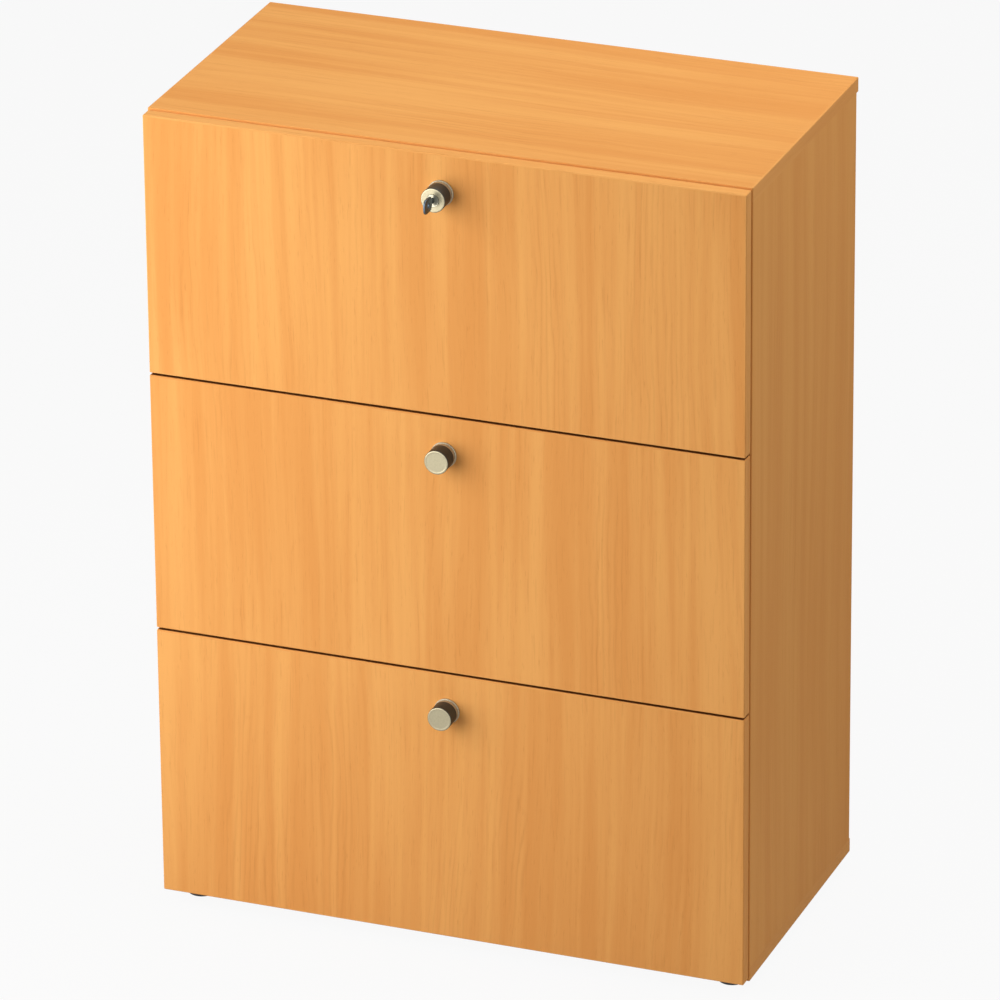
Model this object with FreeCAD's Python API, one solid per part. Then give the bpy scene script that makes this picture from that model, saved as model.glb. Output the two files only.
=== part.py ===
"""Filing cabinet: three suspension-file drawers in a beech-faced board carcass, with knobs and one lock.

Frame: X runs to the right seen from the front, Y to the back and Z up. The origin lies on the floor under
the middle of the whole box, which reaches from the key's bow to the rear edge of the top. Lengths are in
millimetres. Every piece is built where it stands when the drawers are shut and the lock is open.
"""

import FreeCAD, Part
import math
import os

Vector = FreeCAD.Vector

# Carcass
WIDTH = 800.0
DEPTH = 420.0  # face of the fronts to the rear edge of the top
DRAWER_PITCH = 354.0  # height that each drawer takes
TOP_ALLOWANCE = 2.0  # top face above the uppermost pitch line
BOARD = 19.0
BACK_BOARD = 8.0
BAND = 2.0  # plastic edge band
EDGE_RADIUS = 1.5
BAND_ROUNDING_SHARE = 0.9  # of a band, the most that its rounding takes
TOP_OVERHANG = 7.0  # how far the top runs past the rear edges of the sides
BOTTOM_OVERHANG = 3.0
BACK_INSET = 10.0  # rear edges of the sides to the rear face of the back
GROOVE_DEPTH = 6.0

# Clearances
FIT = 0.2  # a fixed piece in its hole or groove
RUNNING = 0.3  # between pieces that move on each other
BUTT_GAP = 0.05  # hairline where an edge band butts on another board or band
OVERRUN = 1.0  # how far a cutting tool runs past the face that it opens

# Cam fittings and dowels of the carcass corners
CAM_RADIUS = 7.5
CAM_COVER = 6.5  # board left behind a cam
CAM_SETBACK = 34.0
BOLT_RADIUS = 3.0
BOLT_COVER = 8.0  # board left past the end of a bolt
DOWEL_RADIUS = 4.0
DOWEL_IN_SIDE = 20.0
DOWEL_COVER = 7.0  # board left past the end of a dowel
DOWEL_SPACING = 32.0
CONNECTOR_INSET = 60.0

# Levellers
LEVELLER_INSET_X = 34.0  # outer face of the side to the foot's axis
LEVELLER_INSET_Y = 30.0  # front or rear edge of the side to the foot's axis
GLIDE_RADIUS = 19.0
GLIDE_THICKNESS = 9.0
GLIDE_ROUNDING = 2.5
GLIDE_ROUNDING_SHARE = 0.4  # of the glide's thickness, the most that a rounding takes
NECK_RADIUS = 10.0
NECK_HEIGHT = 5.7
STUD_RADIUS = 4.0
STUD_COVER = 3.0  # end of the stud below the inside of the bottom board
SOCKET_WALL = 2.7
SOCKET_COVER = 6.0  # board left above a socket
FLANGE_RIM = 7.0
FLANGE = 2.0

# Drawer fronts
FRONT_BOARD = 19.0
FRONT_GAP = 1.0  # between the fronts and the carcass
DRAWER_GAP = 3.0  # between two fronts
GAP_RISE = 3.4  # middle of a gap above its pitch line
SIDE_REVEAL = 1.5
TOP_REVEAL = 2.5
BOTTOM_REVEAL = 3.5

# Screws
HEAD_RADIUS = 3.4
HEAD_HEIGHT = 1.5
SHANK_RADIUS = 1.75
SCREW_COVER = 8.0  # board left past the end of a screw
RECESS_LENGTH_SHARE = 0.54  # of the head's diameter
RECESS_WIDTH_SHARE = 0.12  # of the head's diameter
RECESS_DEPTH_SHARE = 0.65  # of the head's height

# Ball slides
RAIL_HEIGHT = 45.0
RAIL_SHEET = 1.2
INNER_FLANGE = 5.8  # flanges of the drawer's rail beyond its web
RAIL_SETBACK = 3.0  # front edge of the carcass to the rails
RAIL_REAR_CLEARANCE = 22.0
RAIL_RISE = 72.0  # middle of the rails above the bottom of the drawer
RAIL_TIP_GAP = 1.5  # flange tip to the web that it points at
RAIL_SCREW_SHARES = (0.08, 0.5, 0.92)  # along the rail
BALL_RADIUS = 1.35
CAGE_SHEET = 0.8
CAGE_MARGIN = 0.45  # edge of a cage strip to the flange tips
CAGE_LENGTH_SHARE = 0.48  # of the rail
BALLS_PER_STRIP = 4

# Steel drawers
SHEET = 1.2
DRAWER_LIFT = 12.0  # bottom of the drawer above its pitch line
KNOB_CLEARANCE = 31.0  # axis of the knob to the top of the drawer
DRAWER_REAR_CLEARANCE = 13.0  # rear of the drawer to the back
SHELF_MARGIN = 3.0  # screw head to the edges of the folded flanges
LIP = 12.0  # height of the upright edge that carries the files
BACK_FOLD = 12.0
FLOOR_UPTURN = 24.0
HANGER_WIDTH = 62.0
HANGER_TAB = 26.0
WALL_SCREW_SHARES = (0.12, 0.5, 0.88)  # up the side wall
FLOOR_SCREW_SHARES = (-0.5, 0.5)  # along the half width of the floor

# Knobs
KNOB_WALL = 7.8  # knob round the lock
KNOB_LENGTH = 28.0
KNOB_BASE = 3.0
KNOB_BASE_RIM = 1.0  # base ring beyond the knob
KNOB_ROUNDING = 1.2
KNOB_GROOVE = 0.6
KNOB_SCREW_RADIUS = 2.0
KNOB_BITE_SHARE = 0.5  # of the knob in front of its base

# Lock
LOCK_DROP = 34.0  # underside of the top to the axis of the lock
LOCK_PROUD = 0.4
PLUG_RADIUS = 5.5
PLUG_WALL = 1.7  # plug above and below the keyway
PLUG_STEP = 1.5  # plug to its neck
BARREL_WALL = 2.2
NUT_WALL = 3.8
NUT_HEIGHT = 4.0
TAIL = 4.0  # barrel behind its nut
KEYWAY_WIDTH = 2.2
KEY_BLADE = 21.0  # blade inside the plug
KEY_NECK = 5.0  # key between knob and bow
BOW_HEIGHT = 19.0
BOW_LENGTH = 24.0
BOW_ROUNDING = 7.0
BOW_ROUNDING_SHARE = 0.45  # of the bow, the most that a rounding takes
BOW_THICKNESS = 2.6
BOW_HOLE_RADIUS = 3.0
LEVER_WALL = 2.8  # lever round the neck of the plug
LEVER_HEADROOM = 4.0  # tip of the upright lever to the underside of the top
LEVER_SHEET = 3.0
STRIKE_WIDTH = 44.0
STRIKE_LIFT = 8.0  # strike above the barrel
STRIKE_LEG = 26.0
STRIKE_SHEET = 2.0
STRIKE_CLEARANCE = 0.5
STRIKE_SCREW_SHARES = (-0.3, 0.3)  # along the strike's width

DRAWERS = ("lower", "middle", "upper")
SIDES = {"left": -1, "right": 1}
X, Y, Z = range(3)

# Planes that the pieces share
X_OUT = WIDTH / 2
X_IN = X_OUT - BOARD
KEY_REACH = KEY_NECK + BOW_LENGTH
Y_REAR = (DEPTH + KNOB_LENGTH + KEY_REACH) / 2
Y_FACE = Y_REAR - DEPTH
Y_FRONT_BACK = Y_FACE + FRONT_BOARD
Y_CASE = Y_FRONT_BACK + FRONT_GAP
Y_SIDE_REAR = Y_REAR - TOP_OVERHANG
Y_BOTTOM_REAR = Y_SIDE_REAR + BOTTOM_OVERHANG
Y_BACK_REAR = Y_SIDE_REAR - BACK_INSET
Y_BACK_FRONT = Y_BACK_REAR - BACK_BOARD
Z_CASE = GLIDE_THICKNESS + NECK_HEIGHT + RUNNING + FLANGE
Z_FLOOR = Z_CASE + BOARD
Z_TOP = Z_FLOOR + len(DRAWERS) * DRAWER_PITCH + TOP_ALLOWANCE
Z_CEILING = Z_TOP - BOARD

# Slide planes, measured from the inner face of the side towards the drawer
RACE = 2 * (BALL_RADIUS + RUNNING)
MIDDLE_WEB = RAIL_SHEET + HEAD_HEIGHT + RUNNING
INNER_TIP = MIDDLE_WEB + RAIL_SHEET + RAIL_TIP_GAP
INNER_WEB = INNER_TIP + INNER_FLANGE
RAIL_DEPTH = INNER_WEB + RAIL_SHEET
FLANGE_TIP = RAIL_DEPTH - RAIL_TIP_GAP
CAGE_WIDTH = FLANGE_TIP - INNER_TIP - 2 * CAGE_MARGIN
OUTER_HALF = RAIL_HEIGHT / 2
MIDDLE_HALF = OUTER_HALF - RAIL_SHEET - RACE
INNER_HALF = MIDDLE_HALF - RAIL_SHEET - RACE
Y_RAIL = Y_CASE + RAIL_SETBACK
Y_RAIL_END = Y_BACK_FRONT - RAIL_REAR_CLEARANCE
RAIL_LENGTH = Y_RAIL_END - Y_RAIL

# Drawer planes
X_WALL = X_IN - RAIL_DEPTH
X_WALL_IN = X_WALL - SHEET
X_SHELF = X_WALL_IN - 2 * (HEAD_RADIUS + SHELF_MARGIN)
Y_BOX_REAR = Y_BACK_FRONT - DRAWER_REAR_CLEARANCE
Y_BOX_IN = Y_BOX_REAR - SHEET

# Lock and knob
Y_LOCK_FACE = Y_FACE - KNOB_LENGTH - LOCK_PROUD
Y_LOCK_TAIL = Y_FRONT_BACK + NUT_HEIGHT + TAIL
Y_LEVER = Y_LOCK_TAIL + RUNNING
LOCK_RADIUS = PLUG_RADIUS + RUNNING + BARREL_WALL
KEYWAY_HEIGHT = 2 * (PLUG_RADIUS - PLUG_WALL)
NECK_OF_PLUG = PLUG_RADIUS - PLUG_STEP
LEVER_WIDTH = 2 * (NECK_OF_PLUG + FIT + LEVER_WALL)
LEVER_LENGTH = LOCK_DROP - LEVER_HEADROOM
KNOB_RADIUS = LOCK_RADIUS + FIT + KNOB_WALL
KNOB_DROP = LOCK_DROP + BOARD - TOP_REVEAL  # top edge of a front to the axis of its knob


def block(corner, opposite):
    """A box between two opposite corners."""
    low = [min(a, b) for a, b in zip(corner, opposite)]
    high = [max(a, b) for a, b in zip(corner, opposite)]
    return Part.makeBox(*(b - a for a, b in zip(low, high)), Vector(*low))


def rod(radius, start, end):
    """A round bar between two points."""
    axis = Vector(*end) - Vector(*start)
    return Part.makeCylinder(radius, axis.Length, Vector(*start), axis)


def fused(shapes):
    """Several touching shapes as one solid."""
    return shapes[0].multiFuse(shapes[1:]).removeSplitter().Solids[0]


def cut(shape, tools):
    """A solid less a list of tools."""
    return shape.cut(Part.Compound(tools)).Solids[0] if tools else shape


def grown(corner, opposite, by):
    """A box that clears the box between two corners on every side."""
    low = [min(a, b) - by for a, b in zip(corner, opposite)]
    high = [max(a, b) + by for a, b in zip(corner, opposite)]
    return block(low, high)


def rounded_rim(shape, radius, y):
    """A turned piece with its outer rim at the plane y rounded."""
    rims = [e for e in shape.Edges if math.isclose(e.CenterOfMass.y, y) and len(e.Vertexes) == 1]
    outer = max(rims, key=lambda e: e.Length)
    return shape.makeFillet(radius, [outer])


def bevelled_rim(shape, size, y):
    """A turned piece with its outer rim at the plane y bevelled."""
    rims = [e for e in shape.Edges if math.isclose(e.CenterOfMass.y, y) and len(e.Vertexes) == 1]
    outer = max(rims, key=lambda e: e.Length)
    return shape.makeChamfer(size, [outer])


# Boards and their edge bands


def touched_sides(edge, low, high):
    """The sides of a box that an edge of it lies on, as (axis, end) pairs."""
    middle = edge.CenterOfMass
    sides = set()
    for axis in (X, Y, Z):
        if math.isclose(middle[axis], low[axis]):
            sides.add((axis, -1))
        if math.isclose(middle[axis], high[axis]):
            sides.add((axis, 1))
    return sides


def banded_board(low, high, banded_sides, square_sides=()):
    """The core of a board and the bands glued round it.

    A band runs through where its side is named earlier, and butts on the others. A square side meets
    another board, so its edges stay sharp and the bands stop a hairline short of it. The other edges are
    rounded.
    """
    board = block(low, high)
    soft = [e for e in board.Edges if not touched_sides(e, low, high) & set(square_sides)]
    board = board.makeFillet(min(EDGE_RADIUS, BAND * BAND_ROUNDING_SHARE), soft)
    core = {-1: list(low), 1: list(high)}
    free = {-1: list(low), 1: list(high)}  # the room that is left for the next band
    bands = []
    for axis, end in square_sides:
        free[end][axis] -= end * BUTT_GAP
    for axis, end in banded_sides:
        strip = {-1: list(free[-1]), 1: list(free[1])}
        core[end][axis] -= end * BAND
        strip[-end][axis] = core[end][axis]
        free[end][axis] = core[end][axis] - end * BUTT_GAP
        bands.append(block(strip[-1], strip[1]).common(board).Solids[0])
    return block(core[-1], core[1]), bands


# Screws


def screw(seat, direction, length, shank_radius=SHANK_RADIUS):
    """A pan-head screw with a cross recess, its head on the seat, driven along the direction."""
    head = Part.makeCylinder(HEAD_RADIUS, HEAD_HEIGHT, Vector(0, 0, -HEAD_HEIGHT))
    shank = Part.makeCylinder(shank_radius, length)
    arm = (HEAD_RADIUS * RECESS_LENGTH_SHARE, HEAD_RADIUS * RECESS_WIDTH_SHARE)
    floor = HEAD_HEIGHT * RECESS_DEPTH_SHARE - HEAD_HEIGHT
    arms = [
        block((-a, -b, floor), (a, b, -HEAD_HEIGHT - OVERRUN)) for a, b in (arm, arm[::-1])
    ]
    piece = cut(fused([head, shank]), [fused(arms)])
    piece.Placement = FreeCAD.Placement(Vector(*seat), FreeCAD.Rotation(Vector(0, 0, 1), Vector(*direction)))
    return piece


def screw_hole(seat, direction, length, shank_radius=SHANK_RADIUS):
    """The tool that makes the hole for such a screw."""
    start = Vector(*seat) - Vector(*direction) * OVERRUN
    end = Vector(*seat) + Vector(*direction) * (length + FIT)
    return rod(shank_radius + FIT, start, end)


# Carcass


def connectors():
    """Cam fittings and dowels of the corners, with the tools for their holes."""
    cams, dowels, tools = [], [], []
    x_middle = X_IN + BOARD / 2
    x_cam = X_OUT - CAM_COVER
    bolt_grip, dowel_grip = BOARD - BOLT_COVER, BOARD - DOWEL_COVER
    for side in SIDES.values():
        for end, joint in ((-1, Z_FLOOR), (1, Z_CEILING)):
            cam_z = joint - end * CAM_SETBACK
            for y, towards in ((Y_CASE + CONNECTOR_INSET, 1), (Y_SIDE_REAR - CONNECTOR_INSET, -1)):
                x = side * x_middle
                bolt_start = (x, y, joint + end * bolt_grip)
                bolt_hole = rod(BOLT_RADIUS + FIT, (x, y, joint + end * (bolt_grip + FIT)), (x, y, cam_z))
                cam = rod(CAM_RADIUS, (side * X_IN, y, cam_z), (side * x_cam, y, cam_z))
                cam_hole = rod(
                    CAM_RADIUS + FIT,
                    (side * (X_IN - OVERRUN), y, cam_z),
                    (side * (x_cam + FIT), y, cam_z),
                )
                cams.append(cut(cam, [bolt_hole]))
                cams.append(rod(BOLT_RADIUS, bolt_start, (x, y, cam_z + end * FIT)))
                dowel_y = y + towards * DOWEL_SPACING
                top, bottom = joint + end * dowel_grip, joint - end * DOWEL_IN_SIDE
                dowels.append(rod(DOWEL_RADIUS, (x, dowel_y, top), (x, dowel_y, bottom)))
                dowel_hole = rod(
                    DOWEL_RADIUS + FIT, (x, dowel_y, top + end * FIT), (x, dowel_y, bottom - end * FIT)
                )
                tools.append(fused([bolt_hole, cam_hole]))
                tools.append(dowel_hole)
    return cams, dowels, tools


def leveller_places():
    """The names and axes of the four feet."""
    for depth_name, y in (
        ("front", Y_CASE + LEVELLER_INSET_Y),
        ("rear", Y_SIDE_REAR - LEVELLER_INSET_Y),
    ):
        for side_name, side in SIDES.items():
            yield f"{depth_name}_{side_name}", side * (X_OUT - LEVELLER_INSET_X), y


def leveller_socket(x, y):
    """The socket for a foot's stud in the bottom board, and the tool for its hole."""
    z_low, z_high = Z_CASE - FLANGE, Z_FLOOR - SOCKET_COVER
    radius = STUD_RADIUS + RUNNING + SOCKET_WALL
    bore = rod(STUD_RADIUS + RUNNING, (x, y, z_low - OVERRUN), (x, y, Z_FLOOR + OVERRUN))
    flange = rod(radius + FLANGE_RIM, (x, y, z_low), (x, y, Z_CASE))
    body = rod(radius, (x, y, z_low), (x, y, z_high))
    seat = rod(radius + FIT, (x, y, z_low), (x, y, z_high + FIT))
    return cut(fused([flange, body]), [bore]), fused([seat, bore])


def leveller(x, y):
    """A foot: a moulded glide on its stud, screwed right in."""
    z_stop = GLIDE_THICKNESS + NECK_HEIGHT
    glide = rod(GLIDE_RADIUS, (x, y, 0), (x, y, GLIDE_THICKNESS))
    rims = [e for e in glide.Edges if len(e.Vertexes) == 1]
    glide = glide.makeFillet(min(GLIDE_ROUNDING, GLIDE_THICKNESS * GLIDE_ROUNDING_SHARE), rims)
    neck = rod(NECK_RADIUS, (x, y, GLIDE_THICKNESS / 2), (x, y, z_stop))
    stud = rod(STUD_RADIUS, (x, y, GLIDE_THICKNESS / 2), (x, y, Z_FLOOR - STUD_COVER))
    return fused([glide, neck, stud])


def strike():
    """The angle under the top that the lock's lever turns up behind, with its screw places."""
    y_leg = Y_LEVER - STRIKE_CLEARANCE - STRIKE_SHEET
    half = STRIKE_WIDTH / 2
    drop = LOCK_DROP - LOCK_RADIUS - STRIKE_LIFT
    flat = block((-half, y_leg, Z_CEILING - STRIKE_SHEET), (half, y_leg + STRIKE_LEG, Z_CEILING))
    leg = block((-half, y_leg, Z_CEILING - drop), (half, y_leg + STRIKE_SHEET, Z_CEILING))
    y_screw = y_leg + (STRIKE_SHEET + STRIKE_LEG) / 2
    seats = [(share * STRIKE_WIDTH, y_screw, Z_CEILING - STRIKE_SHEET) for share in STRIKE_SCREW_SHARES]
    return fused([flat, leg]), seats


def rail_screw_seats(side, z):
    """Where the screws of one cabinet rail sit."""
    for share in RAIL_SCREW_SHARES:
        yield (side * (X_IN - RAIL_SHEET), Y_RAIL + share * RAIL_LENGTH, z)


def carcass():
    """The boards, bands, connectors, sockets, rails and screws that stay put."""
    outline = [(Y, -1), (Y, 1), (X, -1), (X, 1)]
    top, bands = banded_board(
        (-X_OUT, Y_CASE, Z_CEILING), (X_OUT, Y_REAR, Z_TOP), outline, square_sides=[(Z, -1)]
    )
    bottom, more = banded_board(
        (-X_OUT, Y_CASE, Z_CASE), (X_OUT, Y_BOTTOM_REAR, Z_FLOOR), outline, square_sides=[(Z, 1)]
    )
    bands += more
    sides = {}
    for name, side in SIDES.items():
        low = (min(side * X_IN, side * X_OUT), Y_CASE, Z_FLOOR)
        high = (max(side * X_IN, side * X_OUT), Y_SIDE_REAR, Z_CEILING)
        sides[name], more = banded_board(low, high, [(Y, -1), (Y, 1)], square_sides=[(Z, -1), (Z, 1)])
        bands += more
    reach = X_IN + GROOVE_DEPTH
    back_corners = (
        (-reach, Y_BACK_FRONT, Z_FLOOR - GROOVE_DEPTH),
        (reach, Y_BACK_REAR, Z_CEILING + GROOVE_DEPTH),
    )
    groove = grown(*back_corners, FIT)
    cams, dowels, holes = connectors()
    sockets, socket_holes = zip(*(leveller_socket(x, y) for _, x, y in leveller_places()))
    catch, catch_seats = strike()
    up = (0, 0, 1)
    catch_length = STRIKE_SHEET + BOARD - SCREW_COVER
    screws = [screw(seat, up, catch_length) for seat in catch_seats]
    catch_holes = [screw_hole(seat, up, catch_length) for seat in catch_seats]
    rails = []
    rail_holes = {name: [] for name in SIDES}
    rail_length = RAIL_SHEET + BOARD - SCREW_COVER
    for index in range(len(DRAWERS)):
        z = rail_level(index)
        for name, side in SIDES.items():
            out = (side, 0, 0)
            seats = list(rail_screw_seats(side, z))
            tools = [screw_hole(seat, out, rail_length) for seat in seats]
            rails.append(cut(outer_rail(side, z), tools))
            screws += [screw(seat, out, rail_length) for seat in seats]
            rail_holes[name] += tools
    nodes = {
        "top_panel": [cut(top, holes + catch_holes + [groove])],
        "bottom_panel": [cut(bottom, holes + list(socket_holes) + [groove])],
        "back_panel": [block(*back_corners)],
        "carcass_edge_bands": bands,
        "carcass_cam_fittings": cams,
        "carcass_dowels": dowels,
        "carcass_screws": screws,
        "cabinet_rails": rails,
        "leveller_sockets": list(sockets),
        "lock_strike": [cut(catch, catch_holes)],
    }
    for name, board in sides.items():
        nodes[f"{name}_side_panel"] = [cut(board, holes + rail_holes[name] + [groove])]
    for name, x, y in leveller_places():
        nodes[f"leveller_{name}"] = [leveller(x, y)]
    return nodes


# Ball slides


def rail_level(index):
    """Height of the middle of a drawer's rails."""
    return drawer_bottom(index) + RAIL_RISE


def channel(side, web, tip, half, z):
    """A rail of channel section: its web starts at one depth, and its flanges end at another."""
    x_web, x_web_far = side * (X_IN - web), side * (X_IN - web - RAIL_SHEET)
    x_root = x_web if tip > web else x_web_far
    x_tip = side * (X_IN - tip)
    pieces = [block((x_web, Y_RAIL, z - half), (x_web_far, Y_RAIL_END, z + half))]
    for end in (-1, 1):
        near, far = z + end * half, z + end * (half - RAIL_SHEET)
        pieces.append(block((x_root, Y_RAIL, near), (x_tip, Y_RAIL_END, far)))
    return fused(pieces)


def outer_rail(side, z):
    """The rail on the carcass."""
    return channel(side, 0, FLANGE_TIP, OUTER_HALF, z)


def middle_rail(side, z):
    """The rail that runs out half as far as the drawer."""
    return channel(side, MIDDLE_WEB, FLANGE_TIP, MIDDLE_HALF, z)


def inner_rail(side, z):
    """The rail on the drawer."""
    return channel(side, INNER_WEB, INNER_TIP, INNER_HALF, z)


def ball_cage(side, z, half, depth):
    """The two strips of one race and their balls. Half is the height of the flange that the balls run on."""
    length = CAGE_LENGTH_SHARE * RAIL_LENGTH
    start = (Y_RAIL + Y_RAIL_END - length) / 2
    step = length / BALLS_PER_STRIP
    x = side * (X_IN - depth)
    pieces = []
    for end in (-1, 1):
        level = z + end * (half + RACE / 2)
        strip = block(
            (x - CAGE_WIDTH / 2, start, level - CAGE_SHEET / 2),
            (x + CAGE_WIDTH / 2, start + length, level + CAGE_SHEET / 2),
        )
        centres = [(x, start + (n + 0.5) * step, level) for n in range(BALLS_PER_STRIP)]
        seats = [Part.makeSphere(BALL_RADIUS + RUNNING / 2, Vector(*c)) for c in centres]
        pieces.append(cut(strip, seats))
        pieces += [Part.makeSphere(BALL_RADIUS, Vector(*c)) for c in centres]
    return pieces


def slide(index):
    """The middle rails and ball cages of one drawer."""
    z = rail_level(index)
    name = DRAWERS[index]
    outer_depth = (MIDDLE_WEB + FLANGE_TIP) / 2
    inner_depth = (INNER_TIP + FLANGE_TIP) / 2
    nodes = {
        f"{name}_slide_middle_rails": [middle_rail(side, z) for side in SIDES.values()],
        f"{name}_slide_outer_cages": [],
        f"{name}_slide_inner_cages": [],
    }
    for side in SIDES.values():
        nodes[f"{name}_slide_outer_cages"] += ball_cage(side, z, MIDDLE_HALF, outer_depth)
        nodes[f"{name}_slide_inner_cages"] += ball_cage(side, z, INNER_HALF, inner_depth)
    return nodes


# Drawers


def drawer_bottom(index):
    """Height of the underside of a drawer."""
    return Z_FLOOR + index * DRAWER_PITCH + DRAWER_LIFT


def drawer_top(index):
    """Height of the upright edges that carry the files."""
    return knob_level(index) - KNOB_CLEARANCE


def front_span(index):
    """Lower and upper edge of a front."""
    low = Z_FLOOR + index * DRAWER_PITCH + GAP_RISE + DRAWER_GAP / 2
    high = Z_FLOOR + (index + 1) * DRAWER_PITCH + GAP_RISE - DRAWER_GAP / 2
    if index == 0:
        low = Z_CASE + BOTTOM_REVEAL
    if index == len(DRAWERS) - 1:
        high = Z_TOP - TOP_REVEAL
    return low, high


def knob_level(index):
    """Height of a knob's axis."""
    return front_span(index)[1] - KNOB_DROP


def side_wall(side, index):
    """A side wall folded from sheet: web, file shelf with its lip, and flanges to the floor and the front."""
    z_low, z_high = drawer_bottom(index), drawer_top(index)
    z_shelf = z_high - LIP
    shelf, wall = side * X_SHELF, side * X_WALL
    return fused(
        [
            block((side * X_WALL_IN, Y_FRONT_BACK, z_low), (wall, Y_BOX_REAR, z_shelf)),
            block((shelf, Y_FRONT_BACK, z_shelf - SHEET), (wall, Y_BOX_IN, z_shelf)),
            block((shelf, Y_FRONT_BACK, z_shelf - SHEET), (shelf + side * SHEET, Y_BOX_IN, z_high)),
            block((shelf, Y_FRONT_BACK, z_low), (wall, Y_BOX_IN, z_low + SHEET)),
            block((shelf, Y_FRONT_BACK, z_low), (wall, Y_FRONT_BACK + SHEET, z_shelf)),
        ]
    )


def back_wall(index):
    """The rear wall, with a fold at its top that the hanger rail rests on."""
    z_low, z_high = drawer_bottom(index), drawer_top(index) - LIP - SHEET
    web = block((-X_WALL_IN, Y_BOX_IN, z_low), (X_WALL_IN, Y_BOX_REAR, z_high))
    fold = block((-X_WALL_IN, Y_BOX_REAR - BACK_FOLD, z_high - SHEET), (X_WALL_IN, Y_BOX_REAR, z_high))
    return fused([web, fold])


def drawer_floor(index):
    """The floor sheet on the flanges of the side walls, turned up at the front."""
    z = drawer_bottom(index) + SHEET
    clear = X_SHELF - FIT
    sheet = block((-X_WALL_IN, Y_FRONT_BACK + SHEET, z), (X_WALL_IN, Y_BOX_IN, z + SHEET))
    tongue = block((-clear, Y_FRONT_BACK, z), (clear, Y_FRONT_BACK + SHEET + FIT, z + SHEET))
    upturn = block((-clear, Y_FRONT_BACK, z), (clear, Y_FRONT_BACK + SHEET, z + FLOOR_UPTURN))
    return fused([sheet, tongue, upturn])


def hanger_rail(index):
    """The middle rail for two rows of files: a channel with upright edges, and a tab on the front."""
    z_high = drawer_top(index)
    z_shelf = z_high - LIP
    half = HANGER_WIDTH / 2
    pieces = [
        block((-half, Y_FRONT_BACK, z_shelf - SHEET), (half, Y_BOX_REAR, z_shelf)),
        block((-half, Y_FRONT_BACK, z_shelf - HANGER_TAB), (half, Y_FRONT_BACK + SHEET, z_shelf)),
    ]
    for side in SIDES.values():
        edge = side * half
        pieces.append(block((edge, Y_FRONT_BACK, z_shelf - SHEET), (edge - side * SHEET, Y_BOX_REAR, z_high)))
    return fused(pieces)


def front_screw_seats(index):
    """Where the screws sit that hold the steel drawer to its front."""
    z_low, z_shelf = drawer_bottom(index), drawer_top(index) - LIP
    y = Y_FRONT_BACK + SHEET
    x_flange = (X_SHELF + X_WALL_IN) / 2
    for side in SIDES.values():
        for share in WALL_SCREW_SHARES:
            yield (side * x_flange, y, z_low + share * (z_shelf - z_low))
    for share in FLOOR_SCREW_SHARES:
        yield (share * X_WALL_IN, y, z_low + SHEET + (SHEET + FLOOR_UPTURN) / 2)
    yield (0, y, z_shelf - SHEET - (HANGER_TAB - SHEET) / 2)


def knob(z, bore):
    """A turned knob on its base ring, with a bore."""
    y_face, y_seam = Y_FACE - KNOB_LENGTH, Y_FACE - KNOB_BASE
    head = rounded_rim(rod(KNOB_RADIUS, (0, y_face, z), (0, y_seam, z)), KNOB_ROUNDING, y_face)
    head = bevelled_rim(head, KNOB_GROOVE, y_seam)
    ring = rod(KNOB_RADIUS + KNOB_BASE_RIM, (0, y_seam, z), (0, Y_FACE, z))
    base = bevelled_rim(ring, KNOB_GROOVE, y_seam)
    return cut(head, [bore]), cut(base, [bore])


def drawer(index):
    """One drawer: front, steel walls, hanger rail, inner rails, knob and screws."""
    name = DRAWERS[index]
    z_low, z_high = front_span(index)
    x_half = X_OUT - SIDE_REVEAL
    front, bands = banded_board(
        (-x_half, Y_FACE, z_low), (x_half, Y_FRONT_BACK, z_high), [(X, -1), (X, 1), (Z, -1), (Z, 1)]
    )
    forward = (0, -1, 0)
    length = SHEET + FRONT_BOARD - SCREW_COVER
    seats = list(front_screw_seats(index))
    tools = [screw_hole(seat, forward, length) for seat in seats]
    screws = [screw(seat, forward, length) for seat in seats]
    z_knob = knob_level(index)
    if name == "upper":
        bore = rod(LOCK_RADIUS + FIT, (0, Y_LOCK_FACE - OVERRUN, z_knob), (0, Y_LOCK_TAIL, z_knob))
    else:
        knob_seat = (0, Y_FRONT_BACK, z_knob)
        knob_length = FRONT_BOARD + KNOB_BASE + KNOB_BITE_SHARE * (KNOB_LENGTH - KNOB_BASE)
        bore = screw_hole(knob_seat, forward, knob_length, KNOB_SCREW_RADIUS)
        screws.append(screw(knob_seat, forward, knob_length, KNOB_SCREW_RADIUS))
    head, base = knob(z_knob, bore)
    z_rail = rail_level(index)
    return {
        f"{name}_front_panel": [cut(front, tools + [bore])],
        f"{name}_front_edge_bands": bands,
        f"{name}_drawer_side_walls": [cut(side_wall(side, index), tools) for side in SIDES.values()],
        f"{name}_drawer_back": [back_wall(index)],
        f"{name}_drawer_floor": [cut(drawer_floor(index), tools)],
        f"{name}_hanger_rail": [cut(hanger_rail(index), tools)],
        f"{name}_drawer_rails": [inner_rail(side, z_rail) for side in SIDES.values()],
        f"{name}_knob": [head],
        f"{name}_knob_base": [base],
        f"{name}_drawer_screws": screws,
    }


# Lock


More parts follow.
